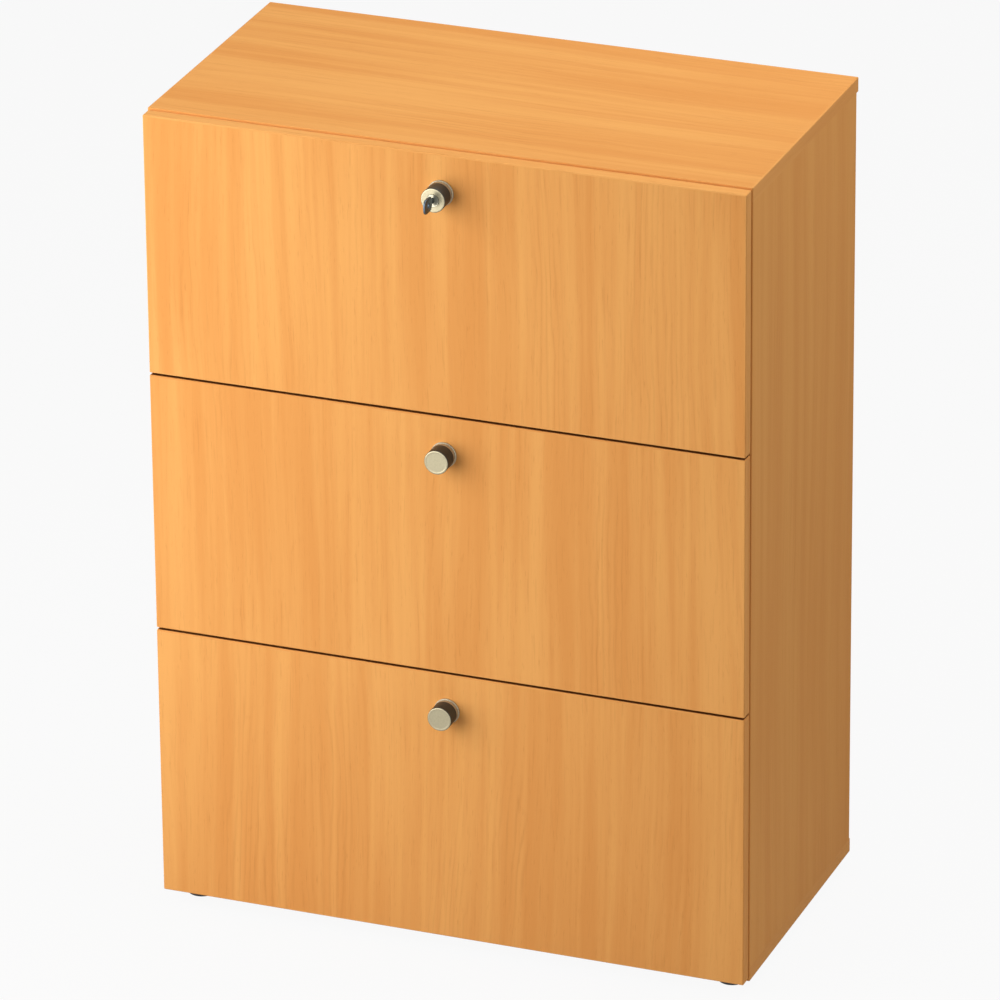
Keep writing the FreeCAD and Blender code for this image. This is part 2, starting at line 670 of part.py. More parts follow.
def lock_barrel(z):
    """The fixed barrel through knob and front, with its nut behind the front."""
    bore = rod(PLUG_RADIUS + RUNNING, (0, Y_LOCK_FACE - OVERRUN, z), (0, Y_LOCK_TAIL + OVERRUN, z))
    barrel = rod(LOCK_RADIUS, (0, Y_LOCK_FACE, z), (0, Y_LOCK_TAIL, z))
    nut = rod(LOCK_RADIUS + FIT + NUT_WALL, (0, Y_FRONT_BACK, z), (0, Y_FRONT_BACK + NUT_HEIGHT, z))
    hole = rod(LOCK_RADIUS + FIT, (0, Y_FRONT_BACK - OVERRUN, z), (0, Y_LOCK_TAIL, z))
    return [cut(barrel, [bore]), cut(nut, [hole])]


def lock_plug(z):
    """The plug that turns in the barrel, with the keyway in its face and a neck for the lever."""
    keyway = block(
        (-KEYWAY_WIDTH / 2, Y_LOCK_FACE - OVERRUN, z - KEYWAY_HEIGHT / 2),
        (KEYWAY_WIDTH / 2, Y_LOCK_FACE + KEY_BLADE + RUNNING, z + KEYWAY_HEIGHT / 2),
    )
    body = rod(PLUG_RADIUS, (0, Y_LOCK_FACE, z), (0, Y_LEVER, z))
    neck = rod(NECK_OF_PLUG, (0, Y_LEVER, z), (0, Y_LEVER + LEVER_SHEET + FIT, z))
    return cut(fused([body, neck]), [keyway])


def lock_lever(z):
    """The lever on the plug's neck. It lies level when the lock is open."""
    y_far = Y_LEVER + LEVER_SHEET
    half = LEVER_WIDTH / 2
    x_end = half - LEVER_LENGTH
    eye = rod(half, (0, Y_LEVER, z), (0, y_far, z))
    arm = block((0, Y_LEVER, z - half), (x_end, y_far, z + half))
    tip = rod(half, (x_end, Y_LEVER, z), (x_end, y_far, z))
    hole = rod(NECK_OF_PLUG + FIT, (0, Y_LEVER - OVERRUN, z), (0, y_far + OVERRUN, z))
    return cut(fused([eye, arm, tip]), [hole])


def key(z):
    """The key: a flat blade in the keyway and an upright bow with a ring hole."""
    y_front = Y_FACE - KNOB_LENGTH - KEY_REACH
    y_bow = y_front + BOW_LENGTH
    half = BOW_THICKNESS / 2
    bow = block((-half, y_front, z - BOW_HEIGHT / 2), (half, y_bow, z + BOW_HEIGHT / 2))
    across = [e for e in bow.Edges if math.isclose(e.CenterOfMass.x, 0, abs_tol=FIT)]
    limit = min(BOW_LENGTH, BOW_HEIGHT) * BOW_ROUNDING_SHARE
    bow = bow.makeFillet(min(BOW_ROUNDING, limit), across)
    y_hole = y_front + BOW_LENGTH / 2
    hole = rod(BOW_HOLE_RADIUS, (-BOW_THICKNESS, y_hole, z), (BOW_THICKNESS, y_hole, z))
    thick, tall = KEYWAY_WIDTH / 2 - RUNNING, KEYWAY_HEIGHT / 2 - RUNNING
    y_root = y_bow - (BOW_LENGTH / 2 - BOW_HOLE_RADIUS) / 2
    blade = block((-thick, y_root, z - tall), (thick, Y_LOCK_FACE + KEY_BLADE, z + tall))
    return fused([cut(bow, [hole]), blade])


def lock():
    """The lock in the uppermost front."""
    z = knob_level(DRAWERS.index("upper"))
    return {
        "lock_barrel": lock_barrel(z),
        "lock_plug": [lock_plug(z)],
        "lock_lever": [lock_lever(z)],
        "lock_key": [key(z)],
    }


def main():
    """Builds every piece and writes one file for each node."""
    nodes = carcass()
    for index in range(len(DRAWERS)):
        nodes.update(drawer(index))
        nodes.update(slide(index))
    nodes.update(lock())
    os.makedirs("parts", exist_ok=True)
    for name, solids in nodes.items():
        shape = solids[0] if len(solids) == 1 else Part.Compound(solids)
        shape.exportStep(f"parts/{name}.step")
    print(f"{len(nodes)} nodes, {sum(len(s) for s in nodes.values())} solids")
    return nodes


if __name__ == "__main__":
    main()
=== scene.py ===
"""Looks of the filing cabinet: beech boards, steel file drawers on ball slides, turned knobs and a lock."""

import logging
import math
from abc import ABC, abstractmethod
from collections.abc import Sequence
from dataclasses import dataclass, field
from enum import Enum
from functools import lru_cache

import bmesh
import bpy
from mathutils import Matrix, Vector


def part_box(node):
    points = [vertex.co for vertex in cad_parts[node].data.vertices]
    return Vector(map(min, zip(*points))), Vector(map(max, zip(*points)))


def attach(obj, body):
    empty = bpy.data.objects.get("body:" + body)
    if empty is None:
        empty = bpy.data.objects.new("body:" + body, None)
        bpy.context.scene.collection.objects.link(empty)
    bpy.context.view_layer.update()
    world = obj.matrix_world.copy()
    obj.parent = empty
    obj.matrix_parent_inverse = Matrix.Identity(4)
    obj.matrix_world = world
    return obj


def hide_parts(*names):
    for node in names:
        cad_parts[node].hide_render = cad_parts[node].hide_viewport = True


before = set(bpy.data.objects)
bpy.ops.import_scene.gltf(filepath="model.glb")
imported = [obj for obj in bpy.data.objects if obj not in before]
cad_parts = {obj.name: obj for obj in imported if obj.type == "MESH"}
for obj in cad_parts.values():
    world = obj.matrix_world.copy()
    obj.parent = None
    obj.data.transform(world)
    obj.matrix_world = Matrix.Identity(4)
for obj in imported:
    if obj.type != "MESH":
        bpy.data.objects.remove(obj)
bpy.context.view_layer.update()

LOG = logging.getLogger("cabinet")
MM = 0.001
# The radius at which a turned shape meets its axis
POLE = 0.0001 * MM
# The mean of noise and waves that run from 0 to 1
MEAN = 0.5
X, Y, Z = range(3)
UP = (0.0, 0.0, 1.0)
FRONTWARD = (0.0, -1.0, 0.0)
HERE = Matrix.Identity(4)
SIDES = (-1, 1)
DRAWERS = ("lower", "middle", "upper")
LOCKED = "upper"
FEET = ("front_left", "front_right", "rear_left", "rear_right")

Point = tuple[float, float]
Triple = tuple[float, float, float]
Place = tuple[Sequence[float], Sequence[float]]
Outline = Sequence[Point]
Rows = Sequence[Sequence[Vector]]
Shade = tuple[float, float, float, float]


def linear(red: int, green: int, blue: int) -> Shade:
    """Turns a screen colour into the shader's linear colour.

    Args:
        red: Red from 0 to 255.
        green: Green from 0 to 255.
        blue: Blue from 0 to 255.

    Returns:
        The linear colour with full alpha.
    """
    parts = [c / 255 for c in (red, green, blue)]
    parts = [c / 12.92 if c <= 0.04045 else ((c + 0.055) / 1.055) ** 2.4 for c in parts]
    return (*parts, 1.0)


# Node trees


class Signal:
    """A number in a node tree. Arithmetic on it adds Math nodes."""

    def __init__(self, graph: "Graph", socket: bpy.types.NodeSocket) -> None:
        """Wraps one output of a graph."""
        self.graph = graph
        self.socket = socket

    def math(self, operation: str, *operands: "float | Signal") -> "Signal":
        """Adds a Math node.

        Args:
            operation: The node's operation.
            operands: Its inputs in order.

        Returns:
            The result.
        """
        return self.graph.add("ShaderNodeMath", {"operation": operation}, dict(enumerate(operands)))

    def __add__(self, other: "float | Signal") -> "Signal":
        """Sum."""
        return self.math("ADD", self, other)

    __radd__ = __add__

    def __sub__(self, other: "float | Signal") -> "Signal":
        """Difference."""
        return self.math("SUBTRACT", self, other)

    def __rsub__(self, other: "float | Signal") -> "Signal":
        """Difference from a number."""
        return self.math("SUBTRACT", other, self)

    def __mul__(self, other: "float | Signal") -> "Signal":
        """Product."""
        return self.math("MULTIPLY", self, other)

    __rmul__ = __mul__

    def __pow__(self, other: float) -> "Signal":
        """Power."""
        return self.math("POWER", self, other)

    def __abs__(self) -> "Signal":
        """Size without sign."""
        return self.math("ABSOLUTE", self)

    def above(self, edge: float) -> "Signal":
        """One where the value passes the edge, and zero elsewhere."""
        return self.math("GREATER_THAN", self, edge)

    def wave(self) -> "Signal":
        """A sine wave from 0 to 1 with one crest for each whole number."""
        return self.math("SINE", self * math.tau) * MEAN + MEAN

    def ramp(self, low: float, high: float) -> "Signal":
        """A smooth step from 0 at the low value to 1 at the high one."""
        inputs = {"Value": self, "From Min": low, "From Max": high}
        return self.graph.add("ShaderNodeMapRange", {"interpolation_type": "SMOOTHSTEP"}, inputs)


def weigh(shares: Sequence[float], *signals: Signal) -> Signal:
    """The sum of signals, each times its share."""
    first, *others = (signal * share for signal, share in zip(signals, shares))
    return sum(others, first)


class Graph:
    """A node tree under construction."""

    def __init__(self, tree: bpy.types.NodeTree) -> None:
        """Takes over a tree and empties it."""
        self.tree = tree
        tree.nodes.clear()

    def add(
        self,
        kind: str,
        settings: dict[str, object] | None = None,
        inputs: dict[str | int, object] | None = None,
        output: str | int = 0,
    ) -> Signal:
        """Adds one node.

        Args:
            kind: The node's type.
            settings: Its properties, which are set first.
            inputs: Values or signals by socket name or index.
            output: The socket to return.

        Returns:
            The chosen output.
        """
        node = self.tree.nodes.new(kind)
        for name, value in (settings or {}).items():
            setattr(node, name, value)
        for key, value in (inputs or {}).items():
            by_name = [s for s in node.inputs if s.name == key and s.enabled]
            socket = by_name[0] if by_name else node.inputs[key]
            if isinstance(value, Signal):
                self.tree.links.new(value.socket, socket)
            else:
                socket.default_value = value
        if not node.outputs:
            return Signal(self, node.inputs[0])
        named = [s for s in node.outputs if s.name == output and s.enabled]
        return Signal(self, named[0] if named else node.outputs[output])


@dataclass(frozen=True)
class Layer:
    """One layer of noise: repeats in a metre on three axes, octaves, their roughness and the span shown."""

    scales: Triple
    detail: float = 2.0
    roughness: float = 0.5
    span: Point | None = None


class Shader(Graph):
    """The nodes of one material."""

    def __init__(self, name: str) -> None:
        """Starts an empty material.

        Args:
            name: The material's name.
        """
        self.material = bpy.data.materials.new(name)
        self.material.use_nodes = True
        super().__init__(self.material.node_tree)

    def axes(self) -> list[Signal]:
        """Object coordinates in metres along X, Y and Z.

        Returns:
            The three coordinates.
        """
        place = self.add("ShaderNodeTexCoord", output="Object")
        split = self.add("ShaderNodeSeparateXYZ", inputs={0: place})
        return [Signal(self, s) for s in split.socket.node.outputs]

    def noise(self, place: Sequence[Signal], layer: Layer) -> Signal:
        """Adds a layer of noise.

        Args:
            place: The three coordinates.
            layer: The noise's sizes.

        Returns:
            Noise from 0 to 1, or the smooth step over the layer's span.
        """
        scaled = {n: axis * scale for n, (axis, scale) in enumerate(zip(place, layer.scales))}
        inputs = {
            "Vector": self.add("ShaderNodeCombineXYZ", inputs=scaled),
            "Scale": 1.0,
            "Detail": layer.detail,
            "Roughness": layer.roughness,
        }
        value = self.add("ShaderNodeTexNoise", inputs=inputs)
        return value.ramp(*layer.span) if layer.span else value

    def mix(self, factor: float | Signal, first: Shade | Signal, second: Shade | Signal) -> Signal:
        """Blends two colours.

        Args:
            factor: Share of the second colour.
            first: The colour at zero.
            second: The colour at one.

        Returns:
            The blend.
        """
        inputs = {"Factor": factor, "A": first, "B": second}
        return self.add("ShaderNodeMix", {"data_type": "RGBA"}, inputs, "Result")

    def bump(self, height: Signal, strength: float, depth: float) -> Signal:
        """A normal from a height map.

        Args:
            height: Height from 0 to 1.
            strength: Share of the effect.
            depth: Height of one in metres.

        Returns:
            The normal.
        """
        inputs = {"Height": height, "Strength": strength, "Distance": depth}
        return self.add("ShaderNodeBump", inputs=inputs, output="Normal")


# Finishes


@dataclass(frozen=True)
class Finish(ABC):
    """A procedural finish. Shares weigh its layers, and relief is the bump's strength and depth."""

    name: str

    @abstractmethod
    def sockets(self, shader: Shader) -> dict[str, object]:
        """The inputs of the surface shader by name."""

    @lru_cache
    def material(self) -> bpy.types.Material:
        """The finish's material, which is made once.

        Returns:
            The material.
        """
        shader = Shader(self.name)
        surface = shader.add("ShaderNodeBsdfPrincipled", inputs=self.sockets(shader))
        shader.add("ShaderNodeOutputMaterial", inputs={"Surface": surface})
        return shader.material


class Grain(Enum):
    """Which axes run along, across and through the grain of a board."""

    UPRIGHT_FRONT = (Z, X, Y)
    UPRIGHT_SIDE = (Z, Y, X)
    LENGTHWISE = (X, Y, Z)


@dataclass(frozen=True)
class BeechDecor(Finish):
    """Satin beech decor: fine rings with slow figure, toned streaks, fibres and short flecks."""

    grain: Grain
    along: float = 0.0
    across: float = 0.0
    contrast: float = 0.85
    gloss: float = 0.42
    sheen: float = 0.005
    light: Shade = linear(240, 174, 100)
    middle: Shade = linear(228, 155, 84)
    dark: Shade = linear(188, 112, 52)
    sweep: Layer = Layer((1.0, 4.0, 3.0), 1.0)
    wander: Layer = Layer((6.0, 40.0, 9.0), 3.0)
    ring_pitch: float = 8.5 * MM
    ring_shares: Point = (16.0, 2.6)
    ring_power: float = 4.0
    figure: Layer = Layer((2.6, 14.0, 7.0), 3.0, span=(0.46, 0.72))
    bend_shares: Point = (0.06, 0.007)
    streak: Layer = Layer((0.9, 38.0, 8.0), 4.0, 0.6)
    cloud: Layer = Layer((1.8, 6.0, 5.0))
    pore: Layer = Layer((13.0, 330.0, 60.0), 3.0, 0.6, (0.54, 0.74))
    fibre: Layer = Layer((24.0, 620.0, 90.0))
    fleck: Layer = Layer((60.0, 800.0, 300.0), 1.0, span=(0.64, 0.78))
    tone_shares: Point = (0.7, 0.3)
    tone_span: Point = (0.36, 0.64)
    mark_shares: tuple[float, ...] = (0.20, 0.20, 0.14, 0.24)
    gloss_shares: Point = (0.14, 0.12)
    height_shares: Triple = (0.5, -0.8, -0.4)
    relief: Point = (0.16, 0.12 * MM)

    def print_axes(self, shader: Shader) -> list[Signal]:
        """The coordinates along, across and through the grain.

        Args:
            shader: The material's nodes.

        Returns:
            The three coordinates in metres.
        """
        axes = shader.axes()
        along, across, through = (axes[n] for n in self.grain.value)
        return [along + self.along, across + self.across, through]

    def shade(self, shader: Shader, colour: Signal) -> Signal:
        """The colour as printed."""
        return colour

    def sockets(self, shader: Shader) -> dict[str, object]:
        """The print with its gloss and its fine grain.

        Args:
            shader: The material's nodes.

        Returns:
            The inputs of the surface shader by name.
        """
        place = self.print_axes(shader)
        along, across, through = place
        sweep = shader.noise(place, self.sweep)
        wander = shader.noise(place, self.wander)
        phase = across * (1 / self.ring_pitch) + weigh(self.ring_shares, sweep, wander)
        figure = phase.wave() ** self.ring_power * shader.noise(place, self.figure)
        bent = [along, across + weigh(self.bend_shares, sweep, wander), through]
        pore, fibre, fleck = (shader.noise(bent, layer) for layer in (self.pore, self.fibre, self.fleck))
        toned = weigh(self.tone_shares, shader.noise(bent, self.streak), shader.noise(place, self.cloud))
        tone = (toned.ramp(*self.tone_span) - MEAN) * self.contrast + MEAN
        marks = weigh(self.mark_shares, figure, pore, fibre - MEAN, fleck)
        colour = shader.mix(marks * self.contrast, shader.mix(tone, self.light, self.middle), self.dark)
        return {
            "Base Color": self.shade(shader, colour),
            "Roughness": self.gloss + weigh(self.gloss_shares, fibre - MEAN, fleck),
            "Normal": shader.bump(weigh(self.height_shares, fibre, fleck, pore), *self.relief),
            "Specular IOR Level": self.sheen,
        }


@dataclass(frozen=True)
class CarcassBand(BeechDecor):
    """Beech-coloured edge band of the carcass, whose print runs along each strip."""

    gloss: float = 0.36
    side_edge: float = 0.397
    low_edge: float = 0.0362
    high_edge: float = 1.0808
    slant: float = 0.6

    def print_axes(self, shader: Shader) -> list[Signal]:
        """The coordinates along, across and through, chosen by the strip.

        Args:
            shader: The material's nodes.

        Returns:
            The three coordinates in metres.
        """
        x, y, z = shader.axes()
        level = z.above(self.high_edge) + (1 - z.above(self.low_edge))
        upright = 1 - level
        ends = level * abs(x).above(self.side_edge)
        along = upright * z + ends * y + (level - ends) * x
        across = upright * x + level * z
        through = ends * x + (1 - ends) * y
        return [along + self.along, across + through * self.slant + self.across, through]


@dataclass(frozen=True)
class FrontBand(BeechDecor):
    """Edge band of a drawer front, with painted shade behind the arris where it faces the gap to another
    drawer.
    """

    gloss: float = 0.36
    side_edge: float = 0.3966
    slant: float = 0.6
    gap_low: float = 0.0
    gap_high: float = 1.0
    gap_start: float = -0.1807
    gap_blur: float = 1.0 * MM
    # Painted shade: a dark colour that stands for the shade inside the gaps between drawers
    gap_tone: Shade = linear(122, 72, 35)

    def print_axes(self, shader: Shader) -> list[Signal]:
        """The coordinates along, across and through, chosen by the strip.

        Args:
            shader: The material's nodes.

        Returns:
            The three coordinates in metres.
        """
        x, y, z = shader.axes()
        at_side = abs(x).above(self.side_edge)
        along = at_side * z + (1 - at_side) * x
        across = at_side * x + (1 - at_side) * z
        return [along + self.along, across + y * self.slant + self.across, y]

    def shade(self, shader: Shader, colour: Signal) -> Signal:
        """The colour as printed, with painted shade on the strips inside a gap.

        Args:
            shader: The material's nodes.
            colour: The printed colour.

        Returns:
            The colour of the band, with its painted gap shade.
        """
        x, y, z = shader.axes()
        facing = z.above(self.gap_high) + (1 - z.above(self.gap_low))
        inside = y.ramp(self.gap_start, self.gap_start + self.gap_blur)
        between = 1 - abs(x).above(self.side_edge)
        # Strips that face a gap are painted dark behind the arris as shade, not as a different band colour
        return shader.mix(facing * inside * between, colour, self.gap_tone)


@dataclass(frozen=True)
class PowderCoat(Finish):
    """Fine-textured powder coat, rubbed bright along the edges that carry the file hooks."""

    rim: float
    colour: Shade = linear(84, 87, 90)
    bare: Shade = linear(168, 168, 164)
    dark_share: float = 0.82
    grit: Layer = Layer((1500.0,) * 3)
    peel: Layer = Layer((320.0,) * 3, 1.0)
    cloud: Layer = Layer((9.0,) * 3, 3.0)
    patch: Layer = Layer((40.0, 55.0, 40.0), 3.0, span=(0.42, 0.62))
    rim_below: float = 1.2 * MM
    rim_above: float = 0.2 * MM
    tone_shares: Point = (0.7, 0.5)
    tone_span: Point = (0.35, 0.85)
    metal_share: float = 0.9
    gloss: float = 0.50
    gloss_shares: Point = (0.22, -0.18)
    height_shares: Point = (0.6, 0.5)
    relief: Point = (0.35, 0.10 * MM)

    def sockets(self, shader: Shader) -> dict[str, object]:
        """The coat, and the bare steel where it is worn.

        Args:
            shader: The material's nodes.

        Returns:
            The inputs of the surface shader by name.
        """
        place = shader.axes()
        grit, peel, cloud, patch = (
            shader.noise(place, layer) for layer in (self.grit, self.peel, self.cloud, self.patch)
        )
        worn = place[Z].ramp(self.rim - self.rim_below, self.rim + self.rim_above) * patch
        darker = (*(self.dark_share * c for c in self.colour[:3]), 1.0)
        tone = weigh(self.tone_shares, grit, cloud).ramp(*self.tone_span)
        return {
            "Base Color": shader.mix(worn, shader.mix(tone, darker, self.colour), self.bare),
            "Metallic": worn * self.metal_share,
            "Roughness": self.gloss + weigh(self.gloss_shares, grit - MEAN, worn),
            "Normal": shader.bump(weigh(self.height_shares, grit, peel), *self.relief),
        }


@dataclass(frozen=True)
class ZincPlate(Finish):
    """Bright zinc on rolled steel: drawn streaks along the rail, soft spangle and a little grease."""

    name: str = "zinc_plate"
    streak_axis: int = Y
    colour: Shade = linear(200, 202, 203)
    dull: Shade = linear(158, 160, 158)
    grease: Shade = linear(96, 92, 82)
    streak_along: float = 6.0
    streak_across: float = 620.0
    streak_detail: float = 3.0
    spangle: Layer = Layer((85.0,) * 3, 3.0, 0.65)
    smear: Layer = Layer((22.0,) * 3, 4.0, span=(0.56, 0.76))
    tone_shares: Point = (0.5, 0.6)
    tone_span: Point = (0.3, 0.8)
    grease_share: float = 0.35
    gloss: float = 0.30
    gloss_shares: Triple = (0.20, 0.10, -0.06)
    relief: Point = (0.10, 0.05 * MM)

    def sockets(self, shader: Shader) -> dict[str, object]:
        """The zinc with its streaks.

        Args:
            shader: The material's nodes.

        Returns:
            The inputs of the surface shader by name.
        """
        place = shader.axes()
        scales = [self.streak_across] * 3
        scales[self.streak_axis] = self.streak_along
        streak = shader.noise(place, Layer(tuple(scales), self.streak_detail))
        spangle = shader.noise(place, self.spangle)
        smear = shader.noise(place, self.smear)
        tone = weigh(self.tone_shares, streak, spangle).ramp(*self.tone_span)
        colour = shader.mix(tone, self.dull, self.colour)
        return {
            "Base Color": shader.mix(smear * self.grease_share, colour, self.grease),
            "Metallic": 1.0,
            "Roughness": self.gloss + weigh(self.gloss_shares, streak - MEAN, spangle, smear),
            "Normal": shader.bump(streak, *self.relief),
        }


@dataclass(frozen=True)
class TurnedNickel(Finish):
    """Matt nickel with turning marks round an axis along Y, darker on the turned side than on the face: a
    painted dark reflection there, with a painted highlight band near the base.
    """

    level: float
    face: Shade = linear(180, 170, 141)
    # Painted dark reflection on the turned side, not the nickel's own colour
    flank: Shade = linear(54, 60, 60)
    # Nickel colour of the base ring, also laid on the side near the base as a painted highlight band
    ring: Shade = linear(186, 178, 154)
    flank_start: float = 15.3 * MM
    seam: float = -0.1895
    blur: float = 0.5 * MM
    mark: Layer = Layer((5200.0, 3600.0, 0.0), 3.0, 0.6)
    haze: Layer = Layer((420.0,) * 3, 3.0)
    tone_shares: Point = (0.6, 0.5)
    tone_span: Point = (0.25, 0.85)
    shadow_share: float = 0.22
    flank_coat_share: float = 0.5
    gloss: float = 0.36
    gloss_shares: Point = (0.16, 0.10)
    relief: Point = (0.14, 0.04 * MM)

    def sockets(self, shader: Shader) -> dict[str, object]:
        """The face, the flank with its painted dark reflection, and the base ring with the painted
        highlight band, all with turning marks.

        Args:
            shader: The material's nodes.

        Returns:
            The inputs of the surface shader by name.
        """
        x, y, z = shader.axes()
        rise = z - self.level
        radius = (x * x + rise * rise) ** 0.5
        mark = shader.noise((radius, y, rise), self.mark)
        haze = shader.noise((x, y, rise), self.haze)
        # The turned side gets the painted dark reflection, except near the base, where the nickel colour is
        # a painted highlight band
        turned = radius.ramp(self.flank_start, self.flank_start + self.blur)
        base = y.ramp(self.seam - self.blur, self.seam + self.blur)
        colour = shader.mix(turned, self.face, shader.mix(base, self.flank, self.ring))
        shadow = weigh(self.tone_shares, mark, haze).ramp(*self.tone_span) * self.shadow_share
        return {
            "Base Color": shader.mix(shadow, colour, self.flank),
            # Less metal on the turned side keeps the painted dark reflection neutral
            "Metallic": 1 - turned * self.flank_coat_share,
            "Roughness": self.gloss + weigh(self.gloss_shares, mark - MEAN, haze),
            "Normal": shader.bump(mark, *self.relief),
        }


@dataclass(frozen=True)
class SatinMetal(Finish):
    """Plain satin metal with fine scratches, for keys, lock parts, cast cams and balls."""

    colour: Shade
    scratch: Shade
    gloss: float = 0.35
    scale: float = 700.0
    wear: float = 0.25
    steep: float = 1.4
    long_scales: Point = (60.0, 90.0)
    scratch_detail: float = 3.0
    scratch_roughness: float = 0.7
    scored_span: Point = (0.56, 0.72)
    crossed_span: Point = (0.58, 0.74)
    cloud: Layer = Layer((130.0,) * 3, 3.0)
    mark_shares: Point = (0.5, 0.5)
    cloud_share: float = 0.10
    gloss_shares: Point = (0.16, -0.08)
    height_shares: Point = (0.5, 0.5)
    relief: Point = (0.12, 0.05 * MM)

    def sockets(self, shader: Shader) -> dict[str, object]:
        """The metal with two ways of scratches.

        Args:
            shader: The material's nodes.

        Returns:
            The inputs of the surface shader by name.
        """
        place = shader.axes()
        fine, (along_y, along_z) = self.scale, self.long_scales
        scored, crossed = (
            shader.noise(place, Layer(scales, self.scratch_detail, self.scratch_roughness))
            for scales in ((fine, along_y, fine * self.steep), (fine, fine, along_z))
        )
        cloud = shader.noise(place, self.cloud)
        marks = weigh(self.mark_shares, scored.ramp(*self.scored_span), crossed.ramp(*self.crossed_span))
        tone = weigh((self.wear, self.cloud_share), marks, cloud)
        return {
            "Base Color": shader.mix(tone, self.colour, self.scratch),
            "Metallic": 1.0,
            "Roughness": self.gloss + weigh(self.gloss_shares, cloud - MEAN, marks),
            "Normal": shader.bump(weigh(self.height_shares, scored, cloud), *self.relief),
        }


@dataclass(frozen=True)
class MouldedPlastic(Finish):
    """Matt moulded plastic with a spark-eroded grain and scuffs near the floor."""

    colour: Shade = linear(27, 27, 28)
    scuff: Shade = linear(74, 72, 69)
    scuff_height: float = 4.0 * MM
    grit: Layer = Layer((1700.0,) * 3)
    cloud: Layer = Layer((160.0,) * 3, 4.0, 0.65, (0.42, 0.66))
    tone_shares: Point = (0.6, 0.08)
    gloss: float = 0.52
    gloss_shares: Point = (0.20, 0.18)
    relief: Point = (0.22, 0.08 * MM)

    def sockets(self, shader: Shader) -> dict[str, object]:
        """The plastic with its grain and scuffs.

        Args:
            shader: The material's nodes.

        Returns:
            The inputs of the surface shader by name.
        """
        place = shader.axes()
        grit = shader.noise(place, self.grit)
        scuffed = (1 - place[Z].ramp(0.0, self.scuff_height)) * shader.noise(place, self.cloud)
        tone = weigh(self.tone_shares, scuffed, grit - MEAN)
        return {
            "Base Color": shader.mix(tone, self.colour, self.scuff),
            "Roughness": self.gloss + weigh(self.gloss_shares, grit - MEAN, scuffed),
            "Normal": shader.bump(grit, *self.relief),
        }


@dataclass(frozen=True)
class BareBeech(Finish):
    """Unfinished turned beech, for the dowels."""

    name: str = "bare_beech"
    light: Shade = linear(222, 190, 146)
    dark: Shade = linear(178, 134, 86)
    fibre: Layer = Layer((900.0, 900.0, 30.0), 3.0)
    fleck: Layer = Layer((1400.0, 1400.0, 160.0), 1.0, span=(0.6, 0.75))
    tone_shares: Point = (0.5, 0.4)
    gloss: float = 0.70
    gloss_share: float = 0.2
    relief: Point = (0.3, 0.1 * MM)

    def sockets(self, shader: Shader) -> dict[str, object]:
        """The wood with its fibres and flecks.

        Args:
            shader: The material's nodes.

        Returns:
            The inputs of the surface shader by name.
        """
        place = shader.axes()
        fibre = shader.noise(place, self.fibre)
        tone = weigh(self.tone_shares, fibre, shader.noise(place, self.fleck))
        return {
            "Base Color": shader.mix(tone, self.light, self.dark),
            "Roughness": self.gloss + (fibre - MEAN) * self.gloss_share,
            "Normal": shader.bump(fibre, *self.relief),
        }


ZINC = ZincPlate()
CAST_ZINC = SatinMetal("cast_zinc", linear(176, 176, 172), linear(120, 120, 116), 0.48, 300.0, 0.4)
SCREW_ZINC = SatinMetal("screw_zinc", linear(196, 196, 192), linear(140, 140, 136), 0.32)
BALL_STEEL = SatinMetal("ball_steel", linear(212, 213, 214), linear(170, 170, 172), 0.12)
LOCK_NICKEL = SatinMetal("lock_nickel", linear(192, 186, 164), linear(130, 124, 104), 0.30)
KEY_STEEL = SatinMetal("key_steel", linear(84, 97, 108), linear(48, 56, 64), 0.36, 500.0, 0.5)
FOOT_BLACK = MouldedPlastic("foot_black")
CARCASS_FINISHES: dict[str, Finish] = {
    "top_panel": BeechDecor("beech_top", Grain.LENGTHWISE, 3.1, 0.4),
    "bottom_panel": BeechDecor("beech_bottom", Grain.LENGTHWISE, 7.7, 1.9),
    "left_side_panel": BeechDecor("beech_left", Grain.UPRIGHT_SIDE, 5.3, 2.7, contrast=0.5),
    "right_side_panel": BeechDecor("beech_right", Grain.UPRIGHT_SIDE, 1.4, 6.1, contrast=0.5),
    "back_panel": BeechDecor("beech_back", Grain.UPRIGHT_FRONT, 9.2, 4.4, gloss=0.48),
    "carcass_edge_bands": CarcassBand("beech_carcass_band", Grain.LENGTHWISE, 2.2, contrast=0.6),
    "carcass_dowels": BareBeech(),
    "lock_strike": ZincPlate("zinc_strike", X),
    "leveller_sockets": FOOT_BLACK,
}
FRONT_PRINTS = {"lower": (0.9, 3.3), "middle": (4.6, 0.7), "upper": (2.5, 5.2)}


# Meshes


def rounded(path: Outline, radius: float, steps: int = 4, largest_share: float = 0.49) -> list[Vector]:
    """Rounds the inner corners of a path.

    Args:
        path: The corners.
        radius: Distance from a corner to where its bend starts.
        steps: Straight runs in each bend.
        largest_share: The most of a straight run that one bend takes up.

    Returns:
        The points of the rounded path.
    """
    points = [Vector(p) for p in path]
    smooth = [points[0]]
    for before, corner, after in zip(points, points[1:], points[2:]):
        shorter = min((corner - before).length, (after - corner).length)
        reach = min(radius, shorter * largest_share)
        start = corner + (before - corner).normalized() * reach
        end = corner + (after - corner).normalized() * reach
        for step in range(steps + 1):
            t = step / steps
            smooth.append(start * (1 - t) ** 2 + corner * (2 * t * (1 - t)) + end * t**2)
    return smooth + [points[-1]]


def circle(radius: float, centre: Point = (0.0, 0.0), count: int = 24) -> list[Point]:
    """The corners of a round outline."""
    turns = [math.tau * n / count for n in range(count)]
    return [(centre[0] + radius * math.cos(a), centre[1] + radius * math.sin(a)) for a in turns]


